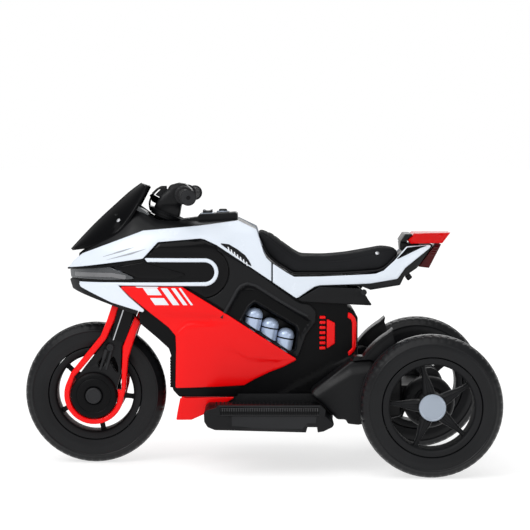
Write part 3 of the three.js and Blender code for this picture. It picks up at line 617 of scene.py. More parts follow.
def rim_verts(x, r, half, rim_r, open_r, hub_half, spoke_y, first, track=0.0):
    lip = [
        (rim_r - 0.5, 0.80), (rim_r - 0.9, 0.915), (rim_r - 2.4, 0.935), (rim_r - 6, 0.925),
        (open_r + 5, 0.90), (open_r + 2.5, 0.87), (open_r + 0.8, 0.80), (open_r, 0.70), (open_r, 0.2),
    ]
    ring = lathe([(a, -b * half) for a, b in lip] + [(a, b * half) for a, b in reversed(lip)], x, r, track,
                 128)
    hub = lathe([
        (8, -hub_half), (24, -hub_half), (28, -hub_half + 3), (29, -hub_half + 8), (29, hub_half - 6),
        (27, hub_half - 1.5), (25, hub_half), (8, hub_half),
    ], x, r, track, 64)
    spokes = []
    for turn in np.radians([first + 72 * k for k in range(5)]):
        c, s = math.cos(turn), math.sin(turn)
        rows = []
        for t in np.linspace(0, 1, 9):
            along, deep = SPOKE_FOOT + (open_r + 3 - SPOKE_FOOT) * t, 1.0 - 0.15 * t
            wide = float(13.5 - 8.5 * smoothstep(0, 0.85, t) + 1.6 * smoothstep(0.85, 1, t))
            section = [(a * wide, track + spoke_y + b * deep) for a, b in SPOKE]
            rows.append([(x + along * c - side * s, y, r + along * s + side * c) for side, y in section])
        spokes.append(grid_solid(rows))
    return merged(ring, hub, *spokes)


piece("front_tyre_rubber", tyre_verts(FRONT_X, FRONT_R, 34, 100), RUBBER, "front_wheel", "front_tyre")
piece("front_wheel_rim", rim_verts(FRONT_X, FRONT_R, 34, 100, 83, 40, 0, -7), RIM, "front_wheel", "front_rim")

CAP_FACE = 241.4
CAP = [(0.01, -4), (28, -4), (28, -2), (27, -0.8), (25, -0.3), (23.6, -0.9), (22.6, -0.5), (14, -0.1),
       (0.01, 0)]
ON_WHEEL = "rear_wheel_{side}"
pair("rear_tyre_rubber", tyre_verts(REAR_X, REAR_R, 36, 103, REAR_TRACK), RUBBER, ON_WHEEL, "rear_tyre")
pair("rear_wheel_rim", rim_verts(REAR_X, REAR_R, 36, 103, 88, 32, 18, 31, REAR_TRACK), RIM, ON_WHEEL,
     "rear_rim")
pair("rear_hub_cap", lathe(CAP, REAR_X, REAR_R, CAP_FACE), SILVER, ON_WHEEL, "hub_cap")

# ---- Front fork ---------------------------------------------------------------------------------

FORK_PLATE = [
    (-300, 360.5), (-299, 345), (-309, 312), (-326, 273), (-372, 215.5), (-391, 190),
    *arc((FRONT_X, FRONT_R), 50.5, 160, 375, 24), (-296, 200), (-293.5, 256), (-278.5, 294), (-266.5, 322),
    (-262, 345),
]
FORK_WINDOWS = [
    [(-346, 222), (-334, 236), (-330, 232), (-334, 213), (-342, 209)],
    [(-322, 228), (-312, 236), (-303, 214), (-302, 199), (-309, 206)],
]
TRIM_OUTER = [
    (-314, 348), (-326, 313), (-339, 281), (-383, 227), (-403, 202),
    *arc((FRONT_X, FRONT_R + 1), 64, 158, 354, 24), (-286, 165), (-280, 232), (-263, 286), (-253, 311),
]
TRIM_INNER = [
    (-265, 323), (-277, 294), (-292, 256), (-294.5, 200), (-295, 163),
    *arc((FRONT_X, FRONT_R), 51.5, 374, 159, 24), (-396, 192), (-374, 216.5), (-327, 274), (-310, 313),
    (-300, 345),
]


def flat_at(y):
    return lambda x, z: np.full(np.shape(x), float(y))


def leg_recess(x, z):
    at = points_of(x, z)
    deep = smoothstep(3, 7, distance_to(at, FORK_PLATE)) * smoothstep(212, 222, z)
    return -4.0 * deep * inside(at, FORK_PLATE)


HUB_COVER = [
    (18, 57), (49.5, 57), (50, 62), (49.4, 66), (47, 69.4), (43, 71.2), (38, 71.8), (36.6, 70.9),
    (35.2, 71.8), (22, 72), (19.5, 71.4), (18, 70),
]
AXLE_HEAD = [
    (0.01, 72.4), (16.6, 72.4), (17, 73.4), (17, 76), (16, 77.4), (14.6, 78), (12.6, 78), (12, 77.5),
    (0.01, 77.5),
]
BLADE = [(-301, 343), (-266, 343), (-271, 320), (-285.5, 266), (-316, 275), (-312, 300)]
strut = merged(
    tube([(-327, 59, 250), (-341, 59, 207)], 4.6, 14, 20, lambda t: 1.0 - 0.3 * smoothstep(0.45, 0.5, t)),
    tube([(-316, 59, 250), (-328, 59, 207)], 3.2, 14, 16),
    lathe([(0.01, 52), (8, 52), (8, 63), (6.8, 64.4), (4, 64.4), (3.4, 63.6), (0.01, 63.6)], -319, 255, 0,
          32),
)
for name, made, look, node in (
    ("fork_leg", skin_shell(FORK_PLATE, thickness=14, relief=leg_recess, holes=FORK_WINDOWS, spacing=6,
                            skin=flat_at(60)), BLACK, "fork"),
    ("fork_hub_cover", lathe(HUB_COVER, FRONT_X, FRONT_R), DEEP, None),
    ("fork_red_trim", skin_shell(TRIM_OUTER + TRIM_INNER, thickness=16, edge=3.6, spacing=4, radius=2,
                                 skin=flat_at(66)), RED, "fork_trim"),
    ("fork_glossy_blade", skin_shell(BLADE, thickness=6, edge=1.2, spacing=5, radius=2, skin=flat_at(62.5)),
     GLOSS, None),
    # A bright steel strip where a highlight runs down the glossy blade: painted highlight.
    ("fork_highlight_stripe", prism([(-291.4, 336), (-289, 336), (-311, 271), (-313.4, 271)], 62, 64.2, 0.5),
     STEEL, None),
    ("fork_damper", strut, CASING, None),
):
    pair(name, made, look, "steering", node)
head = lathe(AXLE_HEAD, FRONT_X, FRONT_R, 0, 48)
axle = merged(lathe([(0.01, -72), (6, -72), (6, 72), (0.01, 72)], FRONT_X, FRONT_R, 0, 32), head,
              mirrored(head))
piece("front_axle_caps", axle, CASING, "steering", "front_axle")

# ---- Handlebar ----------------------------------------------------------------------------------

RISER = [
    (-227, 543), (-223, 533), (-206, 526), (-177, 521), (-171, 537), (-167, 561), (-150, 566),
    (-143, 580), (-145, 593), (-159, 605), (-174, 607), (-192, 602), (-197, 593), (-212, 580), (-225, 558),
]


def riser_relief(x, z):
    waist = smoothstep(2, 12, distance_to(points_of(x, z), RISER)) * 3.0
    return waist - 5.0 * smoothstep(566, 552, z)


block("handlebar_riser_body", BLACK, RISER, "steering", "handlebar_riser", edge=5, spacing=6, radius=7,
      skin=flat_at(27), relief=riser_relief)
COLLAR = [(9.6, 26), (19, 26), (19, 40), (18, 42.4), (15.6, 43.4), (15, 48), (13.6, 50), (9.6, 50)]
pair("riser_collar", lathe(COLLAR, -162, 582, 0, 48), CASING, "steering")
clip = merged(
    prism([(-212, 575), (-198, 592), (-203, 597), (-211, 594), (-224, 581)], 12, 16, 1.5),
    prism([(-232, 583), (-214, 573), (-219, 560), (-231, 566), (-237, 580)], -4, 4, 2),
    tube([(-200, 14, 594), (-214, 14, 595), (-230, 14, 583)], 2.4, 12, 10),
)
pair("cable_clip", clip, BLACK, "steering")
BAR_HALF = [(-162, 45, 582), (-160.5, 72, 582), (-154, 130, 581.2), (-146.5, 188, 580)]
BAR = [(x, -y, z) for x, y, z in reversed(BAR_HALF)] + BAR_HALF
piece("handlebar_bar", tube(BAR, 9, 60, 24), STEEL, "steering", "handlebar_tube")
cable = [(-199.5, 0, 598), (-209, 0, 598), (-222, 0, 590), (-232, 0, 577), (-237, 0, 562), (-235.5, 0, 550),
         (-229.5, 0, 545)]
piece("handlebar_cable", tube(cable, 2.2, 48, 12), CABLE, "steering", "bar_cable")

GRIP_START, GRIP_STOP = Vector((-158, 96, 581.7)), Vector((-145.5, 195, 579.9))
GRIP_LONG = (GRIP_STOP - GRIP_START).length
GRIP_PROFILE = [(9.4, -4), (18, -4), (19, -3), (19, -0.5), (18, 0.5), (14.2, 1.5)]
for k in range(18):
    ring = ((14.0, 0), (14.0, 1.3), (12.7, 1.8), (12.7, 3.1), (14.0, 3.6))
    GRIP_PROFILE += [(r, 6 + k * 4.8 + t) for r, t in ring]
GRIP_PROFILE += [
    (r, GRIP_LONG - t)
    for r, t in ((14, 7), (16, 6.2), (16.8, 5), (16.8, 1.6), (15.6, 0.4), (10, 0), (4.4, 0), (4.0, 1.2),
                 (0.01, 1.2))
]
PLUG = [(0.01, -1), (15, -1), (15, 0.5), (13.6, 1.1), (4.6, 1.1), (4.2, 0.2), (0.01, 0.2)]
GRIP_WAY = GRIP_STOP - GRIP_START
pair("grip_end_cap", spun(PLUG, GRIP_STOP, GRIP_WAY, 40), CASING, "steering")
# A dark disc in the end cap's shallow recess: painted shade of the hole.
pair("grip_end_recess_shade", rod(4, 0, 0.7, GRIP_STOP, GRIP_WAY, 24), GLOSS, "steering")
pair("grip_rubber", spun(GRIP_PROFILE, GRIP_START, GRIP_WAY, 40), GRIP, "steering", "grip")
for name, look in (("steering_stem", STEEL), ("battery", CASING), ("control_box", CASING),
                   ("rear_axle", STEEL)):
    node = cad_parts[name]
    node.data.materials.clear()
    node.data.materials.append(look[0])

# ---- White, red and black side panels -----------------------------------------------------------

DISH, DISH_R = (-120, 421), 56
UPPER_PANEL = [
    (-413, 424, 1.5), (-399, 441), (-378, 457), (-246, 507), (-125, 518), (-44, 529), (-5, 510), (10, 462),
    (16, 450), (26.5, 440, 1), (26.5, 400, 1), (-13, 427), (-89, 477), (-115, 489), (-124, 491),
    (-214, 483), (-246, 448),
]
SEAT_PANEL = [
    (29.5, 438, 1), (59, 418.5), (75, 409.5), (130, 410), (238, 414), (250, 415), (266, 421), (290, 442),
    (316, 471.5), (378, 475.7), (313, 426), (296, 403), (237, 394), (129, 391), (118, 388), (80, 363),
    (29.5, 398, 1),
]
LOWER_WEDGE = [(-387, 393), (-301, 393), (-275, 366), (-243, 339), (-246, 334), (-314, 354), (-382, 385)]
BAND_END, BAND_OUTER_R, BAND_INNER_R = (-115, 420), 29.5, 21
BAND = [
    (-384, 390.5), *arc(BAND_END, BAND_OUTER_R, -90, 90, 20), (-243, 449.5), (-237, 441),
    *arc(BAND_END, BAND_INNER_R, 90, -90, 20), (-386, 396.5),
]
INTAKE = [
    (-287, 392), (-287, 433), (-246, 442), (-212, 481), (-124, 489), (-114, 487), (-92, 476),
    *arc(DISH, DISH_R, 55, -84, 24), (-163, 391.5),
]
ENGINE_COVER = [
    *arc(DISH, DISH_R + 1.6, -82, 56, 24), (-12, 425), (78, 358.5), (90, 353), (107, 350.5), (121, 336),
    (121, 312), (101, 284), (84, 236),
]
POCKET = [(-9, 357), (80, 303), (84, 292), (79, 252), (66, 247), (-38, 315), (-22, 346)]
BASIN = [(-72, 330), (-44, 381), (-24, 394), (-2, 388), (84, 334), (112, 316), (113, 308), (96, 284),
         (82, 236)]
RED_PANEL = [
    (-297, 389), (-163, 389), (-61, 326), (82, 232), (52, 216), (23, 205), (-9, 190), (-31, 177),
    (-54, 175.5), (-178, 171), (-176, 258), (-177, 284), (-192, 302), (-272, 366),
]
RED_CREASE = [(-98, 268), (-57, 257), (-20, 236), (0, 234), (78, 232)]
RED_FOLD = [(-236, 342), (-204, 337), (-100, 331), (-60, 324)]
RED_FACET = [(-178, 285), (-154, 308), (-40, 313)]
BELLY_WEDGE = [(-168, 149.5), (-48, 152), (-90, 128), (-118, 114), (-144, 102), (-177, 101.5), (-174, 120)]


def red_relief(x, z):
    """The lower rear corner lies a little inside a soft crease, and the front edge turns in."""
    crease, fold, facet = (height_on(line, x) for line in (RED_CREASE, RED_FOLD, RED_FACET))
    below = smoothstep(-1, 5, crease - z) * smoothstep(-100, -50, x) * smoothstep(80, 30, x)
    front = smoothstep(-158, -176, x) * smoothstep(300, 262, z)
    band = smoothstep(2, -14, z - fold) * smoothstep(-6, 10, z - facet)
    band = band * smoothstep(-236, -190, x) * smoothstep(-40, -90, x)
    return -1.6 * below - 1.6 * front - 5.0 * band


def upper_relief(x, z):
    crest = height_on([(-404, 431), (-246, 486), (-124, 504), (-44, 503), (26, 455)], x)
    return 1.6 * smoothstep(-10, 10, z - crest)


def seat_panel_relief(x, z):
    spine = height_on([(29, 418), (60, 404), (120, 401), (237, 405), (296, 424), (376, 479)], x)
    return 1.3 * smoothstep(-4, 4, z - spine)


def dish_relief(x, z):
    """The dark intake steps down under a shelf, and rolls up to the round wall of the dish."""
    away = np.hypot(x - DISH[0], z - DISH[1])
    shelf = smoothstep(462, 469, z) * smoothstep(-108, -130, x)
    bowl = smoothstep(36, 50, away) * smoothstep(-128, -112, x)
    ring = (np.abs(away - 37) < 3) * (x > -112)
    return 2.6 * shelf + 1.8 * bowl + 0.4 * ring - 1.6 * (1 - shelf) * smoothstep(454, 446, z)


def cover_relief(x, z):
    """The cover sinks inside the basin's rim round the cylinder pocket."""
    at = points_of(x, z)
    edge, within = distance_to(at, BASIN), inside(at, BASIN)
    basin = np.where(within, smoothstep(0, 9, edge), 0)
    rim = np.exp(-((edge / 3.2) ** 2))
    lip = np.exp(-((distance_to(at, POCKET) / 3.5) ** 2)) * 3.2
    roll = smoothstep(8, 0, np.abs(np.hypot(x - DISH[0], z - DISH[1]) - 61)) * 1.2
    return -7.5 * basin + rim + lip * within + roll


skin_pair("upper_shell", WHITE, UPPER_PANEL, "upper_panel", relief=upper_relief, edge=1.8, radius=6)
skin_pair("seat_side_shell", WHITE, SEAT_PANEL, "seat_panel", relief=seat_panel_relief, edge=1.8, radius=6)
skin_pair("nose_wedge", WHITE, LOWER_WEDGE, "lower_panel", edge=1.6, radius=3)
skin_pair("side_band", WHITE, BAND, edge=2.4, radius=2, spacing=5)
skin_pair("intake_liner", GLOSS, INTAKE, "intake", depth=4.5, thickness=3, relief=dish_relief, spacing=5,
          radius=3)
skin_pair("engine_side_cover", BLACK, ENGINE_COVER, "engine_cover", depth=3, relief=cover_relief,
          holes=[POCKET], spacing=4, radius=8)
# A slightly raised band along the basin's rim, in a lighter grey that is a painted highlight.
BASIN_RIM_HIGHLIGHT = [(-80, 322), (-62, 352), (-47, 380), (-38, 391), (-24, 396), (-6, 391), (40, 361), (84, 335),
             (106, 324)]
skin_pair("basin_rim_painted_highlight", CASING, ribbon(BASIN_RIM_HIGHLIGHT, 7), depth=0.2, thickness=3, edge=3, radius=1, spacing=5)
skin_pair("red_side_panel", RED, RED_PANEL, "red_fairing", relief=red_relief, edge=1.8,
          creases=[RED_CREASE, RED_FACET], spacing=6)


def slanted(x, z, wide, tall):
    """A generic slanted block, where the toy carries a printed graphic."""
    shift = tall * 0.72
    return [(x, z + tall), (x + wide, z + tall), (x + wide + shift, z), (x + shift, z)]


MARKS = [
    slanted(-246, 371, 30, 15), slanted(-231, 350, 30, 15), slanted(-208, 350, 14, 36),
    slanted(-186, 350, 9, 36),
    slanted(-170, 350, 5, 36), [(-262, 389), (-214, 389), (-213, 386.5), (-258, 386.5)],
]
for i, mark in enumerate(MARKS):
    skin_pair(f"side_graphic_{i}", GRAPHIC, mark, depth=-0.35, thickness=0.8, edge=0.2, radius=0.8, spacing=9)
SWOOSHES = [
    [(-345, 447), (-290, 462), (-262, 473), (-292, 465.5)],
    [(-330, 443), (-270, 457), (-236, 470), (-272, 460.5)],
]
for i, swoosh in enumerate(SWOOSHES):
    skin_pair(f"nose_line_{i}", GREY_MARK, swoosh, depth=-0.3, thickness=0.8, edge=0.2, radius=0.3, spacing=9)
DECAL = [(-84, 482), (-63, 479), (-46, 469), (-29, 456), (-20, 443), (-14, 431), (-30, 441), (-54, 460)]
skin_pair("shoulder_decal", BLACK, DECAL, depth=-0.7, thickness=1.0, edge=0.3, radius=2, spacing=7)
for i in range(7):
    x = -66 + i * 6.4
    bar = [(x, 474 - i * 5.2), (x + 2.6, 473 - i * 5.2), (x + 4.4, 463 - i * 5.0), (x + 1.8, 464 - i * 5.0)]
    skin_pair(f"decal_tick_{i}", GRAPHIC, bar, depth=-0.95, thickness=0.6, edge=0.15, radius=0.4, spacing=9)
TAIL_DECAL = [(318, 469.5), (352, 472.5), (362, 473), (346, 467.5), (292, 443)]
skin_pair("tail_decal", GLOSS, TAIL_DECAL, depth=-1.7, thickness=1.0, edge=0.3, radius=1.5, spacing=7)

# ---- Cylinders in their pocket ------------------------------------------------------------------

POCKET_DEPTH = 46
POCKET_STEPS = [(0, 6), (0.6, 8), (2.5, 12), (4.0, 30), (5.5, 40), (8, 44.5), (12, 45.8)]


def pocket_verts():
    """The pocket's wall and floor; each step is how far in from the outline and how far below the skin."""
    outline = resampled(rounded(POCKET, 7), 5)
    verts = []
    for grow, drop in POCKET_STEPS:
        ring = inset(outline, grow)
        verts += [(x, w, z) for (x, z), w in zip(ring, half_width(ring[:, 0], ring[:, 1]) - drop)]
    faces = grid_faces(len(POCKET_STEPS), len(outline))
    grow, drop = POCKET_STEPS[-1]
    flat, tris = plane_faces(inset(outline, grow), (), 8)
    floor = [(x, float(half_width(x, z)) - drop, z) for x, z in flat]
    return merged((verts, faces), (floor, tris))


LEAN = math.radians(11)
CAN_R = 18.3
DOME = [(0.01, -40), (CAN_R, -40), (CAN_R, -26), (CAN_R, -10), (CAN_R, -2.6)]
DOME += [(CAN_R - 3, -2.2), (CAN_R - 3, 0.2), (CAN_R, 0.6), (CAN_R, 4.5)]
DOME += [(CAN_R * math.cos(a), 5 + 15.5 * math.sin(a)) for a in np.linspace(0.0, math.pi / 2 - 0.01, 9)]
# Dark rings filling the groove under each dome: painted shade of the groove.
GROOVE_SHADE = [(-4, -2.6), (-0.4, -2.6), (-0.2, -1), (-0.4, 0.6), (-4, 0.6), (-4, -2.6)]
barrels, groove_shades = [], []
for i in range(3):
    x, z = -10.5 + i * 33.6, 322.5 - i * 22.4
    stand = (x, float(half_width(x, z)) - POCKET_DEPTH + 19, z), (math.sin(LEAN), 0, math.cos(LEAN))
    barrels.append(spun(DOME, *stand))
    groove_shades.append(spun([(CAN_R + r, t) for r, t in GROOVE_SHADE], *stand))
pair("cylinder_pocket", pocket_verts(), BLACK)
pair("engine_cylinders", merged(*barrels), CAN, node="cylinder_bank")
pair("cylinder_groove_shade", merged(*groove_shades), DEEP)

# ---- Body core and belly ------------------------------------------------------------------------

CORE = [
    (-170, 151.5), (-183, 165), (-186, 175), (-186, 237), (-192, 256), (-217, 279), (-254, 310),
    (-256, 382), (-7, 382), (-7, 452), (8, 452), (27, 434), (58, 413), (75, 406), (189, 406), (189, 341),
    (203, 334), (211, 321), (211, 152),
]
REAR_SEAM = [(44, 159), (90, 182), (132, 204), (150, 216), (211, 247)]


def core_relief(x, z):
    """A seam to the rear, a flare towards the rear beam, and a skirt under the red panel."""
    below = np.where(x > 44, smoothstep(-2, 2, height_on(REAR_SEAM, x) - z), 0)
    rear = smoothstep(150, 205, x) * smoothstep(245, 215, z)
    skirt = np.where((x > -178) & (x < -46) & (z < 176), 3.0, 0)
    return 3.0 * below + 6.0 * rear + skirt


core = block("body_core_shell", DEEP, CORE, node="body_core", depth=9, relief=core_relief,
             creases=[REAR_SEAM], spacing=6, radius=5, edge=3)
space = skin_shell(POCKET, depth=-12, thickness=12 + 47, edge=0.5, radius=7, spacing=12)
for _, sign in SIDES:
    carve(core, mirrored(space, sign))
wheel_well = axis_rod(78, 60, 246, 64)
carve(core, wheel_well)
TOOTH = ((-189.6, 0), (-189.6, 3), (-185.4, 3.4), (-185.4, 5.6))
COMB = [(-182, 238), (-182, 171)] + [(x, foot + z) for foot in range(172, 234, 6) for x, z in TOOTH]
block("core_comb", DEEP, COMB, depth=10, edge=0.3, radius=0, spacing=8)
PAN = [(-66, 158), (158, 158), (158, 104), (150, 98), (-58, 98), (-66, 106)]
bevelled(piece("belt_pan", prism(PAN, -83, 83), BLACK), 3)
skin_pair("belly_wedge", RED, BELLY_WEDGE, thickness=5, edge=1.8, radius=3, spacing=6)
block("belly_front", RED, [(-176, 104), (-173, 121), (-164, 152), (-158, 152), (-168, 121), (-170, 104)],
      node="belly_guard", depth=1.2, edge=1.5, radius=1.5, spacing=5)

# ---- Red rear trims -----------------------------------------------------------------------------

TRAPEZOID = [(144.5, 319), (162, 310), (162, 266), (144.5, 254)]
HOOK = [
    (189, 321), (190, 334), (198, 329), (205, 321), (208, 310), (207.5, 257), (202, 247), (192, 237),
    (190, 247), (199, 256), (198.6, 310), (196, 317),
]
skin_pair("vent_wedge", RED, TRAPEZOID, "side_trim", depth=3.4, thickness=6, edge=1.6, radius=2.5, spacing=5)
for i, z in enumerate(range(256, 325, 11)):
    bar = [(129, z - 3.2), (129, z + 3.2), (142, z + 3.2), (142, z - 3.2)]
    skin_pair(f"vent_bar_{i}", RED, bar, depth=4.2, thickness=5, edge=1.4, radius=2.6, spacing=4)
skin_pair("hook_trim", RED, HOOK, depth=3.4, thickness=7, edge=2.2, radius=3, spacing=4)

# ---- Nose and chin ------------------------------------------------------------------------------

LENS_OUTLINE = [(-403, 404), (-407, 422), (-330, 429), (-318, 430), (-257, 405), (-320, 402)]
LENS_TAIL = [(-315, 430), (-254, 406), (-186, 404), (-150, 415), (-232, 436), (-246, 441), (-287, 433)]
CHIN = [(-410, 401), (-402, 380), (-388, 374), (-317, 349), (-281, 335), (-258, 328), (-258, 345),
        (-312, 367), (-377, 388), (-384, 401)]
HEAD_FRAME = [
    (-404, 402), (-404, 424), (-392, 434), (-371, 443), (-246, 487), (-125, 500), (-44, 507), (-9, 488),
    (-9, 383), (-256, 383), (-385, 388),
]
block("head_frame_shell", BLACK, HEAD_FRAME, node="head_frame", depth=9, spacing=10)
skin_pair("chin_shell", BLACK, CHIN, depth=4.6, thickness=6, spacing=7)
skin_pair("headlight_glass", LENS, LENS_OUTLINE, depth=0.4, thickness=3, edge=1.4, spacing=6)
skin_pair("headlight_tail", GLOSS, LENS_TAIL, depth=1.0, thickness=3, edge=1.4, spacing=6)
for i, x in enumerate((-378, -340, -302)):
    bowl = [(x + 13 * math.cos(a), 415 + 8.5 * math.sin(a)) for a in np.linspace(0, 2 * math.pi, 25)[:-1]]
    skin_pair(f"headlight_reflector_{i}", SILVER, bowl, depth=4.2, thickness=3, edge=2.4, radius=0, spacing=5)
# A pale band laid over the headlight glass: painted highlight.
PAINTED_HIGHLIGHT_BAND = [(-396, 412), (-350, 412.5), (-312, 412.5), (-282, 408)]
skin_pair("headlight_painted_highlight", PAINTED_LENS_HIGHLIGHT, ribbon(PAINTED_HIGHLIGHT_BAND, 9), depth=0.1, thickness=1, edge=0.6, radius=3, spacing=6)
BROW = [(-414, 422.6), (-360, 427.5), (-318, 431), (-292, 434)]
skin_pair("headlight_brow", DEEP, ribbon(BROW, 3.6), depth=-0.4, thickness=2.4, edge=0.8, radius=0.5,
          spacing=6)
block("headlight_front", LENS, [(-406, 405), (-408, 420), (-404, 423), (-399, 423), (-397, 404),
                                (-401, 402.5)],
      node="headlight_lens", edge=1.5, radius=1.5, spacing=4, depth=0.5)

# ---- Top cowl and dash --------------------------------------------------------------------------

COWL = [
    (-388, 456, 444), (-370, 470, 453), (-340, 494, 466), (-300, 526, 481), (-264, 554, 494),
    (-230, 538, 500), (-215, 530, 502), (-175, 527, 506), (-120, 527, 511), (-50, 529, 520), (-8, 508, 501),
]
COWL_TOP = Table([(x, top) for x, top, _ in COWL])
COWL_EDGE = Table([(x, edge) for x, _, edge in COWL])

def dome_at(t):
    return (1 - abs(t) ** 3.2) ** 0.8


def cowl_rows():
    rows = []
    for x in np.concatenate([np.linspace(-388, -200, 40), np.linspace(-195, -8, 30)]):
        edge, top = float(COWL_EDGE(x)), float(COWL_TOP(x))
        wide = float(min(half_width(x, edge), half_width(x, edge - 8))) - 7
        ring = []
        for t in np.linspace(-1, 1, 33):
            crease = 1.0 * math.exp(-(((abs(t) - 0.52) / 0.04) ** 2))
            ring.append((x, wide * t, edge + (top - edge) * dome_at(t) + crease))
        for t in np.linspace(0.985, -0.985, 25):
            ring.append((x, (wide - 2) * t, edge - 7 + (top - edge) * dome_at(t) * 0.94))
        rows.append(ring)
    return rows


UP = (0, 0, 1)
riser_room = axis_rod(44, 395, 480, 56)
cowl = piece("top_cowl_shell", grid_solid(cowl_rows()), BLACK, node="top_cowl", sharp=40)
carve(cowl, riser_room, sharp=40)
GAITER = [
    (33, -9), (36, -9), (37, -5), (40, -4), (41, 0), (44.5, 1), (45.5, 3.5), (43, 4.5), (39, 3.5), (36, 0),
    (33, -3), (33, -9),
]
piece("steering_gaiter", spun(GAITER, on_axis(416), on_axis(480) - on_axis(395), 72), BLACK)
pair("cowl_clear_strip", prism([(-268, 553), (-262, 560), (-236, 541), (-239, 535)], 40, 44, 1.5), LENS)

HORN_X = -78
DASH = [(-172, 519), (-171, 528), (-133, 533), (-128, 540), (-96, 542), (-50, 544), (-46, 541), (-45, 519)]
horn_hole = rod(9.8, 0, 30, (HORN_X, 0, 535), UP)
dash = block("dash_block", BLACK, DASH, edge=3, spacing=6, radius=3, skin=flat_at(38))
carve(dash, riser_room)
carve(dash, horn_hole)
for name, x0, x1, y, z, look in (
    ("dash_silver_bezel", -126, -97, 31, 543.0, SILVER),
    ("dash_display", -68, -50, 24, 545.0, GLOSS),
    ("dash_rear_ridge", -92, -64, 30, 544.5, BLACK),
):
    made = piece(name, prism([(x0, z - 6), (x1, z - 6), (x1, z + 0.2), (x0, z - 1.2)], -y, y, 1), look)
    bevelled(made, 1.2)
    if name == "dash_rear_ridge":
        carve(made, horn_hole)
ROCKER = [(-121, 540), (-101, 540), (-101, 549), (-106, 546.6), (-111, 546), (-116, 546.6), (-121, 549)]
for name, y in (("power_switch", -19), ("direction_switch", 19)):
    bevelled(piece(f"{name}_rocker", prism(ROCKER, y - 6.5, y + 6.5, 1), CASING, name, name), 1.0)
    for end, x in enumerate((-117.5, -104.5)):
        mark = [(x - 1.2, 546.6), (x + 1.2, 546.6), (x + 1.2, 548.2), (x - 1.2, 548.2)]
        piece(f"{name}_mark_{end}", prism(mark, y - 3, y + 3, 0.3), GREY_MARK, name)
BUTTON = [(0.01, 0), (9, 0), (9, 7.2), (8.2, 8.8), (6.4, 9.5), (3, 8.9), (0.01, 8.7)]
BUTTON_RING = [(10, -2), (13.5, -2), (13.5, 4), (12.6, 5.2), (10.8, 5.2), (10, 4.2), (10, -2)]
piece("horn_button_cap", spun(BUTTON, (HORN_X, 0, 541), UP), CASING, "horn_button", "horn_button")
piece("horn_button_ring", spun(BUTTON_RING, (HORN_X, 0, 541), UP), SILVER)

# ---- Windscreen ---------------------------------------------------------------------------------

SCREEN = [
    (-407, 463, -401, 464, 12), (-383, 489, -372, 469, 36), (-352, 521, -341, 479, 52),
    (-310, 560, -300, 503, 64), (-276, 590, -262, 556, 60), (-254, 606, -238, 599, 38),
]


def screen_rows():
    at = np.arange(len(SCREEN), dtype=float)
    lines = [Table(list(zip(at, [rib[k] for rib in SCREEN]))) for k in range(5)]
    rows = []
    for s in np.linspace(0, len(SCREEN) - 1, 56):
        rx, rz, ex, ez, wide = (float(line(s)) for line in lines)
        face, back = [], []
        for t in np.linspace(-1, 1, 41):
            drop = 0.65 * abs(t) ** 1.25 + 0.35 * abs(t) ** 4
            x, z = rx + (ex - rx) * drop, rz + (ez - rz) * drop
            rim = smoothstep(0.90, 0.94, abs(t))
            ridge = math.exp(-((t / 0.05) ** 2))
            face.append((x - 0.9 * (rim + ridge), wide * t, z + 1.0 * (rim + ridge)))
            back.append((x + 2.2, wide * t * 0.995, z - 2.6))
        rows.append(face + back[::-1])
    return rows


piece("windscreen_smoked", grid_solid(screen_rows()), SMOKE, node="windscreen", sharp=50)
SCREEN_SCREW = [(0.01, -4), (4.2, -4), (4.4, 0), (4.4, 1.4), (3.6, 2.4), (1.6, 2.6), (1.4, 1.8), (0.01, 1.8)]
for side, sign in SIDES:
    screw = spun(SCREEN_SCREW, (-300, sign * 52, 527), (-0.42, sign * 0.72, 0.55), 28)
    piece(f"windscreen_screw_{side}", screw, STEEL)
    post = tube([(-303, sign * 35, 500), (-303, sign * 35, 527), (-305, sign * 35, 541)], 5, 10, 16)
    piece(f"windscreen_post_{side}", post, BLACK)

# ---- Seat ---------------------------------------------------------------------------------------

SEAT_TOP = Table([(-3, 505), (2, 508), (16, 502), (44, 481), (76, 458), (92, 450.5), (131, 450), (180, 453.5),
                  (237, 463), (280, 470.5), (296, 467), (301, 458)])
SEAT_FOOT = Table([(-3, 503), (12, 463), (30, 441), (60, 421.5), (76, 413.5), (130, 413.5), (250, 418.5),
                   (267, 424), (291, 445), (301, 456)])
SEAT_WIDE = Table([(-5, 66), (6, 72), (30, 77), (76, 85), (140, 87), (200, 83), (250, 73), (285, 58),
                   (301, 44)])


def seat_rows(shrink):
    rows = []
    for x in np.concatenate([np.linspace(-2.5, 8, 6), np.linspace(14, 285, 34), np.linspace(290, 300, 4)]):
        top, wide = float(SEAT_TOP(x)) - shrink, float(SEAT_WIDE(x)) - shrink
        foot = float(SEAT_FOOT(x)) + 0.6
        tall = max(top - foot, 1.2)
        ring = []
        for a in np.linspace(-math.pi / 2, 1.5 * math.pi, 49)[:-1]:
            c, s = math.cos(a), math.sin(a)
            side = math.copysign(abs(c) ** 0.42, c)
            if s >= 0:
                rise = 0.45 + 0.55 * s**0.62
                rise -= 0.05 * math.exp(-((side / 0.35) ** 2))
            else:
                rise = 0.45 * (1 - abs(s) ** 0.35)
            ring.append((x, wide * side, foot + tall * rise))
        rows.append(ring)
    return rows


def set_points(obj, points):
    obj.data.vertices.foreach_set("co", points.astype(np.float32).ravel())
    obj.data.update()


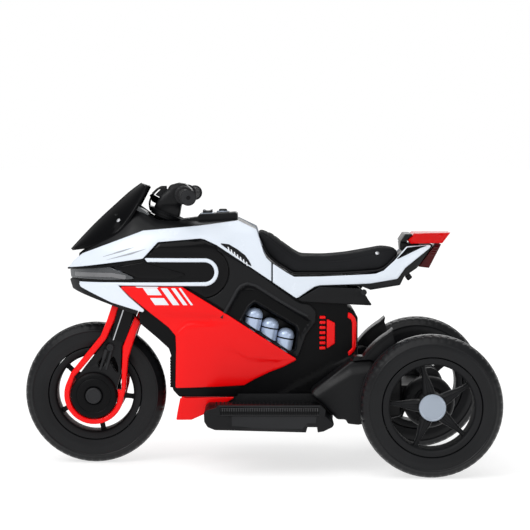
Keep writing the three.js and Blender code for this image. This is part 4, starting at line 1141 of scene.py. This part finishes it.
def stuffed(obj, voxel, pressure, frames, cap, foot):
    """The cushion blown up by a short cloth simulation, held down where it rests."""
    add_modifier(obj, "REMESH", mode="VOXEL", voxel_size=voxel * MM)
    applied(obj)
    start = np.array([v.co for v in obj.data.vertices])
    rest = foot(start[:, 0] / MM) * MM
    held = 1 - smoothstep(2 * MM, 14 * MM, start[:, 2] - rest)
    group = obj.vertex_groups.new(name="held")
    group.add([i for i, weight in enumerate(held) if weight > 0.35], 1.0, "REPLACE")
    cloth = add_modifier(obj, "CLOTH")
    for key, value in CLOTH.items():
        setattr(cloth.settings, key, value)
    cloth.settings.uniform_pressure_force = pressure
    cloth.settings.effector_weights.gravity = 0
    cloth.point_cache.frame_start, cloth.point_cache.frame_end = 1, frames
    scene = bpy.context.scene
    for step in range(1, frames + 1):
        scene.frame_set(step)
    applied(obj)
    scene.frame_set(1)
    move = np.array([v.co for v in obj.data.vertices]) - start
    far = np.linalg.norm(move, axis=1)
    keep = np.minimum(1, cap * MM / np.maximum(far, 1e-9)) * (1 - held)
    set_points(obj, start + move * keep[:, None])


CLOTH = {
    "quality": 6, "mass": 0.25, "tension_stiffness": 25, "compression_stiffness": 25,
    "bending_stiffness": 0.6, "use_pressure": True, "vertex_group_mass": "held",
}
seat = piece("seat_cushion", grid_solid(seat_rows(3.0)), LEATHER, node="seat", sharp=60)
stuffed(seat, 5, 4.0, 20, 5, SEAT_FOOT)
add_modifier(seat, "SMOOTH", factor=0.5, iterations=4)
add_modifier(seat, "SUBSURF", levels=1, render_levels=1)
applied(seat, 180)


def sewn(obj):
    """Presses the sewn lines into the cover: one along each flank and three across the nose."""
    co = np.array([v.co for v in obj.data.vertices]) / MM
    normals = np.array([v.normal for v in obj.data.vertices])
    x, y, z = co.T
    wide, upper = SEAT_WIDE(x), z > (SEAT_TOP(x) + SEAT_FOOT(x)) / 2
    groove = np.exp(-(((np.abs(y) - wide * 0.80) * upper / 1.9) ** 2)) * upper
    for line in (20, 34, 48):
        across = 0.5 * np.exp(-(((x - line) / 1.8) ** 2)) * (np.abs(y) < wide * 0.8) * upper
        groove = np.maximum(groove, across)
    set_points(obj, (co - normals * (2.0 * groove)[:, None]) * MM)


sewn(seat)
SEAT_SCREW = [(0.01, -6), (4.4, -6), (4.6, 0), (4.2, 1.2), (2, 1.8), (0.01, 1.8)]
for side, sign in SIDES:
    hem = [(x, sign * (float(SEAT_WIDE(x)) - 1.5), float(SEAT_FOOT(x)) + 2.4) for x in np.linspace(8, 292,
                                                                                                   30)]
    piece(f"seat_piping_{side}", tube(hem, 2.2, 110, 10), GRIP)
    screw = spun(SEAT_SCREW, (253, sign * 58, 457), (0.1, sign * 0.75, 0.66), 24)
    piece(f"seat_screw_{side}", screw, STEEL)

# ---- Seat support, tail and lamps ---------------------------------------------------------------

WING = [(82, 361), (129, 388), (215, 384), (224, 375), (228, 367), (242, 347), (91, 356)]
TAIL_CORE = [
    (192, 389), (216, 389), (238, 380), (302, 389), (311, 407), (322, 414), (339, 425), (376, 475),
    (345, 473), (318, 469), (294, 444), (269, 421), (250, 415), (216, 409), (192, 409),
]
SPOILER_NECK = [(305, 462), (303, 480), (315, 480), (322, 476), (345, 476), (345, 468)]
SPOILER_BLOCK = [(302, 480.5), (313.5, 498), (331, 498), (317, 485), (318, 480)]
TAIL_LIGHT = [(334, 499.5, 52), (412, 500, 34), (394, 477.5, 40), (326, 476.8, 54), (318, 485, 54)]
REFLECTOR = [(342, 427), (366, 424), (392.5, 475.8), (380, 475.5)]


def wing_relief(x, z):
    crease = height_on([(82, 358), (140, 370), (215, 372), (242, 350)], x)
    return 2.4 * smoothstep(-6, 10, z - crease) - 1.0


wings = skin_pair("seat_support_wing", BLACK, WING, depth=-2, thickness=8, radius=3, relief=wing_relief,
                  spacing=6)
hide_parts("seat_support")
block("seat_support_bridge", BLACK, [(213, 350), (213, 383), (215, 383), (228, 366), (238, 350)], depth=8,
      edge=1.5, radius=1.5)
BOLT = [(0.01, -3), (6, -3), (6.4, 0), (6.4, 3), (5.4, 4.2), (3, 4.4), (2.6, 3), (0.01, 3)]
for side, sign in SIDES:
    y = float(half_width(223, 376)) + 2
    piece(f"wing_bolt_{side}", spun(BOLT, (223, sign * y, 376), (0, sign, 0), 30), CASING)
block("tail_frame_shell", BLACK, TAIL_CORE, node="tail_frame", depth=4.6, spacing=7, radius=3)
block("spoiler_neck", BLACK, SPOILER_NECK, edge=2.5, spacing=6, radius=2, skin=flat_at(38))
block("spoiler_block", BLACK, SPOILER_BLOCK, edge=3, spacing=5, radius=2.5, skin=flat_at(54))
KNOB = [(0.01, 0), (6, 0), (6.4, 3), (6.4, 9), (5.4, 11), (0.01, 11.4)]
piece("tail_knob", spun(KNOB, (318, -46, 410), (0.3, 0, -0.4), 28), BLACK)


def lamp_rows():
    """The spoiler-shaped tail lamp: its rear tips pull in, and a groove runs round its edge."""
    edge = [(Vector((x, z)), w) for x, z, w in TAIL_LIGHT]
    ring = []
    for i, (p, w) in enumerate(edge):
        q, v = edge[(i + 1) % len(edge)]
        steps = max(2, int((q - p).length / 5))
        ring += [(*p.lerp(q, k / steps), w + (v - w) * k / steps) for k in range(steps)]
    middle = Vector((sum(p[0] for p in ring) / len(ring), sum(p[1] for p in ring) / len(ring)))
    rows = []
    for t in np.linspace(-1, 1, 45):
        end = smoothstep(1.0, 0.93, abs(t))
        groove = 1.0 - 0.035 * math.exp(-(((abs(t) - 0.86) / 0.02) ** 2))
        shrink = (0.86 + 0.14 * math.sqrt(end)) * groove
        rows.append([
            (middle.x + (x - middle.x) * shrink, w * t, middle.y + (z - middle.y) * shrink) for x, z,
            w in ring
        ])
    return rows


def ribbed(x, z):
    return 0.7 * np.sin(z * 2 * math.pi / 5.0)


piece("tail_light_lens", grid_solid(lamp_rows()), RED_LENS, node="tail_light", sharp=30)
piece("tail_light_board", prism([(338, 497), (392, 498), (382, 484), (332, 484)], -30, 30, 2), DARK_LENS)
block("rear_reflector", DARK_LENS, REFLECTOR, node="reflector", spacing=2.6, radius=2, skin=flat_at(35),
      relief=ribbed)

# ---- Footboards and pedal -----------------------------------------------------------------------

FOOTBOARD = [
    (-114, 134), (-113, 116), (-106, 105), (-91, 99), (98, 94, 1), (101, 105, 1), (122, 105, 1), (122, 94, 1),
    (134, 96), (153, 105), (157, 113), (124, 141), (-107, 141),
]


def footboard_relief(x, z):
    """A rebate for the mat above, and a shallow panel in the side wall."""
    frame_edge = distance_to(points_of(x, z), FOOTBOARD)
    panel = smoothstep(5, 8, frame_edge) * smoothstep(-66, -62, x) * smoothstep(124, 121, x)
    rebate = smoothstep(130, 131.5, z) * smoothstep(-88, -85, x) * smoothstep(130, 127, x)
    return -3.0 * panel * (1 - rebate) - 6.0 * rebate


def rim_relief(x, z):
    """A long recess below the rim's top edge, which the teeth stand in."""
    tall = smoothstep(130.5, 132, z) * smoothstep(147, 145.5, z)
    return -3.0 * tall * smoothstep(-83, -80, x) * smoothstep(126, 122, x)


def mat_ribs(stretches):
    """The mat's ribs; stretches gives what a rib at x covers sideways."""
    return merged(*[
        prism([(x, 138), (x + 4, 138), (x + 3.4, 142.6), (x + 0.6, 142.6)], *stretch, 0.5)
        for x in np.arange(-92, 112, 8.4)
        for stretch in stretches(x)
    ])


DECK_RIM = [(-108, 128), (-108, 141), (-88, 146), (-84, 151.5), (129, 151), (139, 141), (137, 128)]
board = skin_shell(FOOTBOARD, thickness=131, edge=3, relief=footboard_relief, spacing=6, radius=6,
                   skin=flat_at(215))
deck_rim = skin_shell(DECK_RIM, depth=-0.3, thickness=9.3, edge=1.4, relief=rim_relief, spacing=3, radius=2,
                      skin=flat_at(215))
teeth = merged(*[
    prism([(x, 132), (x + 2.6, 132), (x + 2.6, 144.6), (x, 144.6)], 211, 214.6, 0.5)
    for x in np.arange(-79, 120, 4.8)
])
strip = prism([(-81, 138), (123, 138), (123, 145), (-81, 145)], 209, 212.7, 0.4)
side_plate = merged(
    prism([(-56, 103), (94, 99), (97, 107), (118, 107), (120, 130), (-56, 130)], 210, 213, 1),
    prism([(-82, 148), (126, 148), (126, 149.8), (-82, 149.8)], 212, 215.6, 0.4),
)
corner_space = prism([(-120, 88), (-66, 88), (-66, 150), (-120, 150)], 80, 92, 0)
for made, (_, sign) in zip(pair("footboard_shell", board, BLACK, node="footboard"), SIDES):
    carve(made, mirrored(corner_space, sign))
pair("footboard_rim", deck_rim, BLACK)
pair("footboard_teeth", teeth, DEEP)
pair("footboard_strip", strip, GREY_PLASTIC)
pair("footboard_side_plate", side_plate, CASING)
piece("footboard_mat_left", mirrored(mat_ribs(lambda x: [(96, 203)])), GRIP)
piece("footboard_mat_right", mat_ribs(lambda x: [(96, 203)] if x > 46 or x < -50 else [(96, 120),
                                                                                       (180, 203)]), GRIP)
PEDAL = [(38, 145), (43, 149), (38, 153), (-42, 174), (-46, 171), (-42, 168)]
bevelled(piece("pedal_plate", prism(PEDAL, 124, 176, 1), BLACK, "pedal", "pedal"), 1.5)
slope = Vector((-80, 21)).normalized()
lift = Vector((slope.y, -slope.x))
pads = []
PAD_PITCH = 10
for i in range(7):
    c = Vector((30, 155)) + slope * (8 + i * PAD_PITCH)
    a, b = c - slope * 2.4, c + slope * 2.4
    pads.append(prism([tuple(p) for p in (a - lift, b - lift, b + lift * 1.8, a + lift * 1.8)], 129, 171,
                      0.5))
piece("pedal_pads", merged(*pads), GRIP, "pedal")

# ---- Rear housing, gearboxes and mudguards ------------------------------------------------------

POD = [
    (109, 165), (115, 174), (193, 235), (234, 239), (300, 214), (300, 120), (209, 101), (187, 103),
    (183, 112), (165, 112), (131, 146),
]


def pod_relief(x, z):
    """The pod swells towards the wheel, with a bevelled upper flank and louvres low down."""
    flank = height_on([(109, 150), (193, 205), (234, 212), (300, 190)], x)
    slots = (np.abs((z - 118) % 8 - 4) < 1.3) & (z > 114) & (z < 150) & (x > 196) & (x < 232)
    return -9.0 * smoothstep(250, 120, x) - 8.0 * smoothstep(-4, 22, z - flank) - 1.6 * slots


pod = skin_shell(POD, thickness=58, edge=5, relief=pod_relief, spacing=4, radius=9, skin=flat_at(158))
recess = lathe([(0.01, 112), (57, 112), (57, 175), (0.01, 175)], REAR_X, REAR_R, 0, 64)
pods = pair("rear_pod", pod, BLACK, sharp=32)
for made, (_, sign) in zip(pods, SIDES):
    carve(made, mirrored(recess, sign))
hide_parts("rear_housing")
BEAM = [(212, 130), (330, 130), (385, 132), (385, 176), (340, 178), (212, 178)]
bevelled(piece("rear_beam", prism(BEAM, -99, 99), BLACK), 3)
GEAR_CASE = [
    (6.6, 113), (48, 113), (53, 116), (54, 121), (54, 126), (52.4, 127), (52.4, 130), (54, 131), (54, 148),
    (51, 154), (44, 158.6), (34, 160), (32.6, 158.4), (31, 160), (20, 160), (18, 156), (6.6, 156),
]
MOTOR = [(0.01, 62), (16, 62), (19, 65), (19, 118), (0.01, 118)]
FIN = [(18, 0), (20, 0.6), (20, 2.4), (18, 3)]
LUG = [(0.01, 150), (6, 150), (6, 158.4), (5, 159.6), (2.6, 159.6), (2.2, 158.2), (0.01, 158.2)]
gears = merged(
    lathe(GEAR_CASE, REAR_X, REAR_R),
    lathe(MOTOR, REAR_X + 4, REAR_R + 50, 0, 40),
    *[lathe(FIN, REAR_X + 4, REAR_R + 50, y, 40) for y in (72, 80, 88, 96)],
    *[lathe(LUG, REAR_X + 42 * math.cos(a), REAR_R + 42 * math.sin(a), 0, 20)
      for a in np.radians([20, 92, 164, 236, 308])],
)
pair("gearbox_case", gears, CASING, node="gearbox")
HUB = (REAR_X, REAR_R)
GUARD = [*arc(HUB, 170, 121.5, 146, 24), *arc(HUB, 163, 146, 119, 24), (282, 305)]
GUARD_FOOT = [(197, 236.6), (224, 239.3), (221, 246), (200, 246)]
GUARD_WALL = [*arc(HUB, 168, 118, 145, 16), (208, 239), (232, 241), (262, 231.5), *arc(HUB, 126, 138, 122, 6)]
flap = merged(prism(GUARD, 114, 166, 1), prism(GUARD_FOOT, 118, 156, 1), prism(GUARD_WALL, 162, 165.5, 1),
              prism(GUARD_WALL, 114.5, 117, 1))
for made in pair("mudguard_flap", flap, BLACK, node="mudguard"):
    bevelled(made, 1.4)

# ---- Floor, light and camera --------------------------------------------------------------------


def floor():
    mesh = bpy.data.meshes.new("floor")
    mesh.from_pydata([(-40, -40, 0), (40, -40, 0), (40, 40, 0), (-40, 40, 0)], [], [(0, 1, 2, 3)])
    obj = bpy.data.objects.new("floor", mesh)
    bpy.context.scene.collection.objects.link(obj)
    material = bpy.data.materials.new("pale_floor")
    material.use_nodes = True
    set_sockets(material.node_tree.nodes["Principled BSDF"], Base_Color=(0.42, 0.42, 0.42, 1), Roughness=0.7,
                Specular_IOR_Level=0.0, Emission_Color=(1, 1, 1, 1), Emission_Strength=0.7)
    mesh.materials.append(material)


def studio():
    world = bpy.data.worlds.new("studio")
    world.use_nodes = True
    tree = world.node_tree
    back = tree.nodes["Background"]
    place = tree.nodes.new("ShaderNodeTexCoord")
    axes = tree.nodes.new("ShaderNodeSeparateXYZ")
    dome = tree.nodes.new("ShaderNodeMapRange")
    dome.interpolation_type = "SMOOTHSTEP"
    set_sockets(dome, From_Min=0.09, From_Max=0.4, To_Min=1.0, To_Max=0.42)
    tree.links.new(place.outputs["Generated"], axes.inputs["Vector"])
    tree.links.new(axes.outputs["Z"], dome.inputs["Value"])
    tree.links.new(dome.outputs["Result"], back.inputs["Strength"])
    set_sockets(back, Color=(1, 1, 1, 1))
    bpy.context.scene.world = world


def lamp(name, kind, at, towards, **settings):
    data = bpy.data.lights.new(name, kind)
    for key, value in settings.items():
        setattr(data, key, value)
    light = bpy.data.objects.new(name, data)
    light.location = at
    light.rotation_euler = (Vector(towards) - Vector(at)).to_track_quat("-Z", "Y").to_euler()
    bpy.context.scene.collection.objects.link(light)


def camera():
    scene = bpy.context.scene
    data = bpy.data.cameras.new("camera")
    data.sensor_width, data.lens = 36, 132.66
    obj = bpy.data.objects.new("camera", data)
    obj.location = (0.01295, -4.229, 0.701)
    obj.rotation_euler = (math.radians(90 - 3.69), 0, 0)
    scene.collection.objects.link(obj)
    scene.camera = obj
    scene.view_settings.view_transform = "Standard"


floor()
studio()
lamp("sun", "SUN", (0, 0, 0), (0.35, 0.55, -1.0), energy=1.5, angle=math.radians(70))
for name, at, size, power in (
    ("key", (-1.8, -2.2, 2.2), 1.2, 22),
    ("fill", (2.4, -2.4, 0.9), 1.2, 9),
    ("back", (0.4, 3.0, 2.0), 2.2, 22),
):
    lamp(name, "AREA", at, (0, 0, 0.3), shape="SQUARE", size=size, energy=power)
camera()
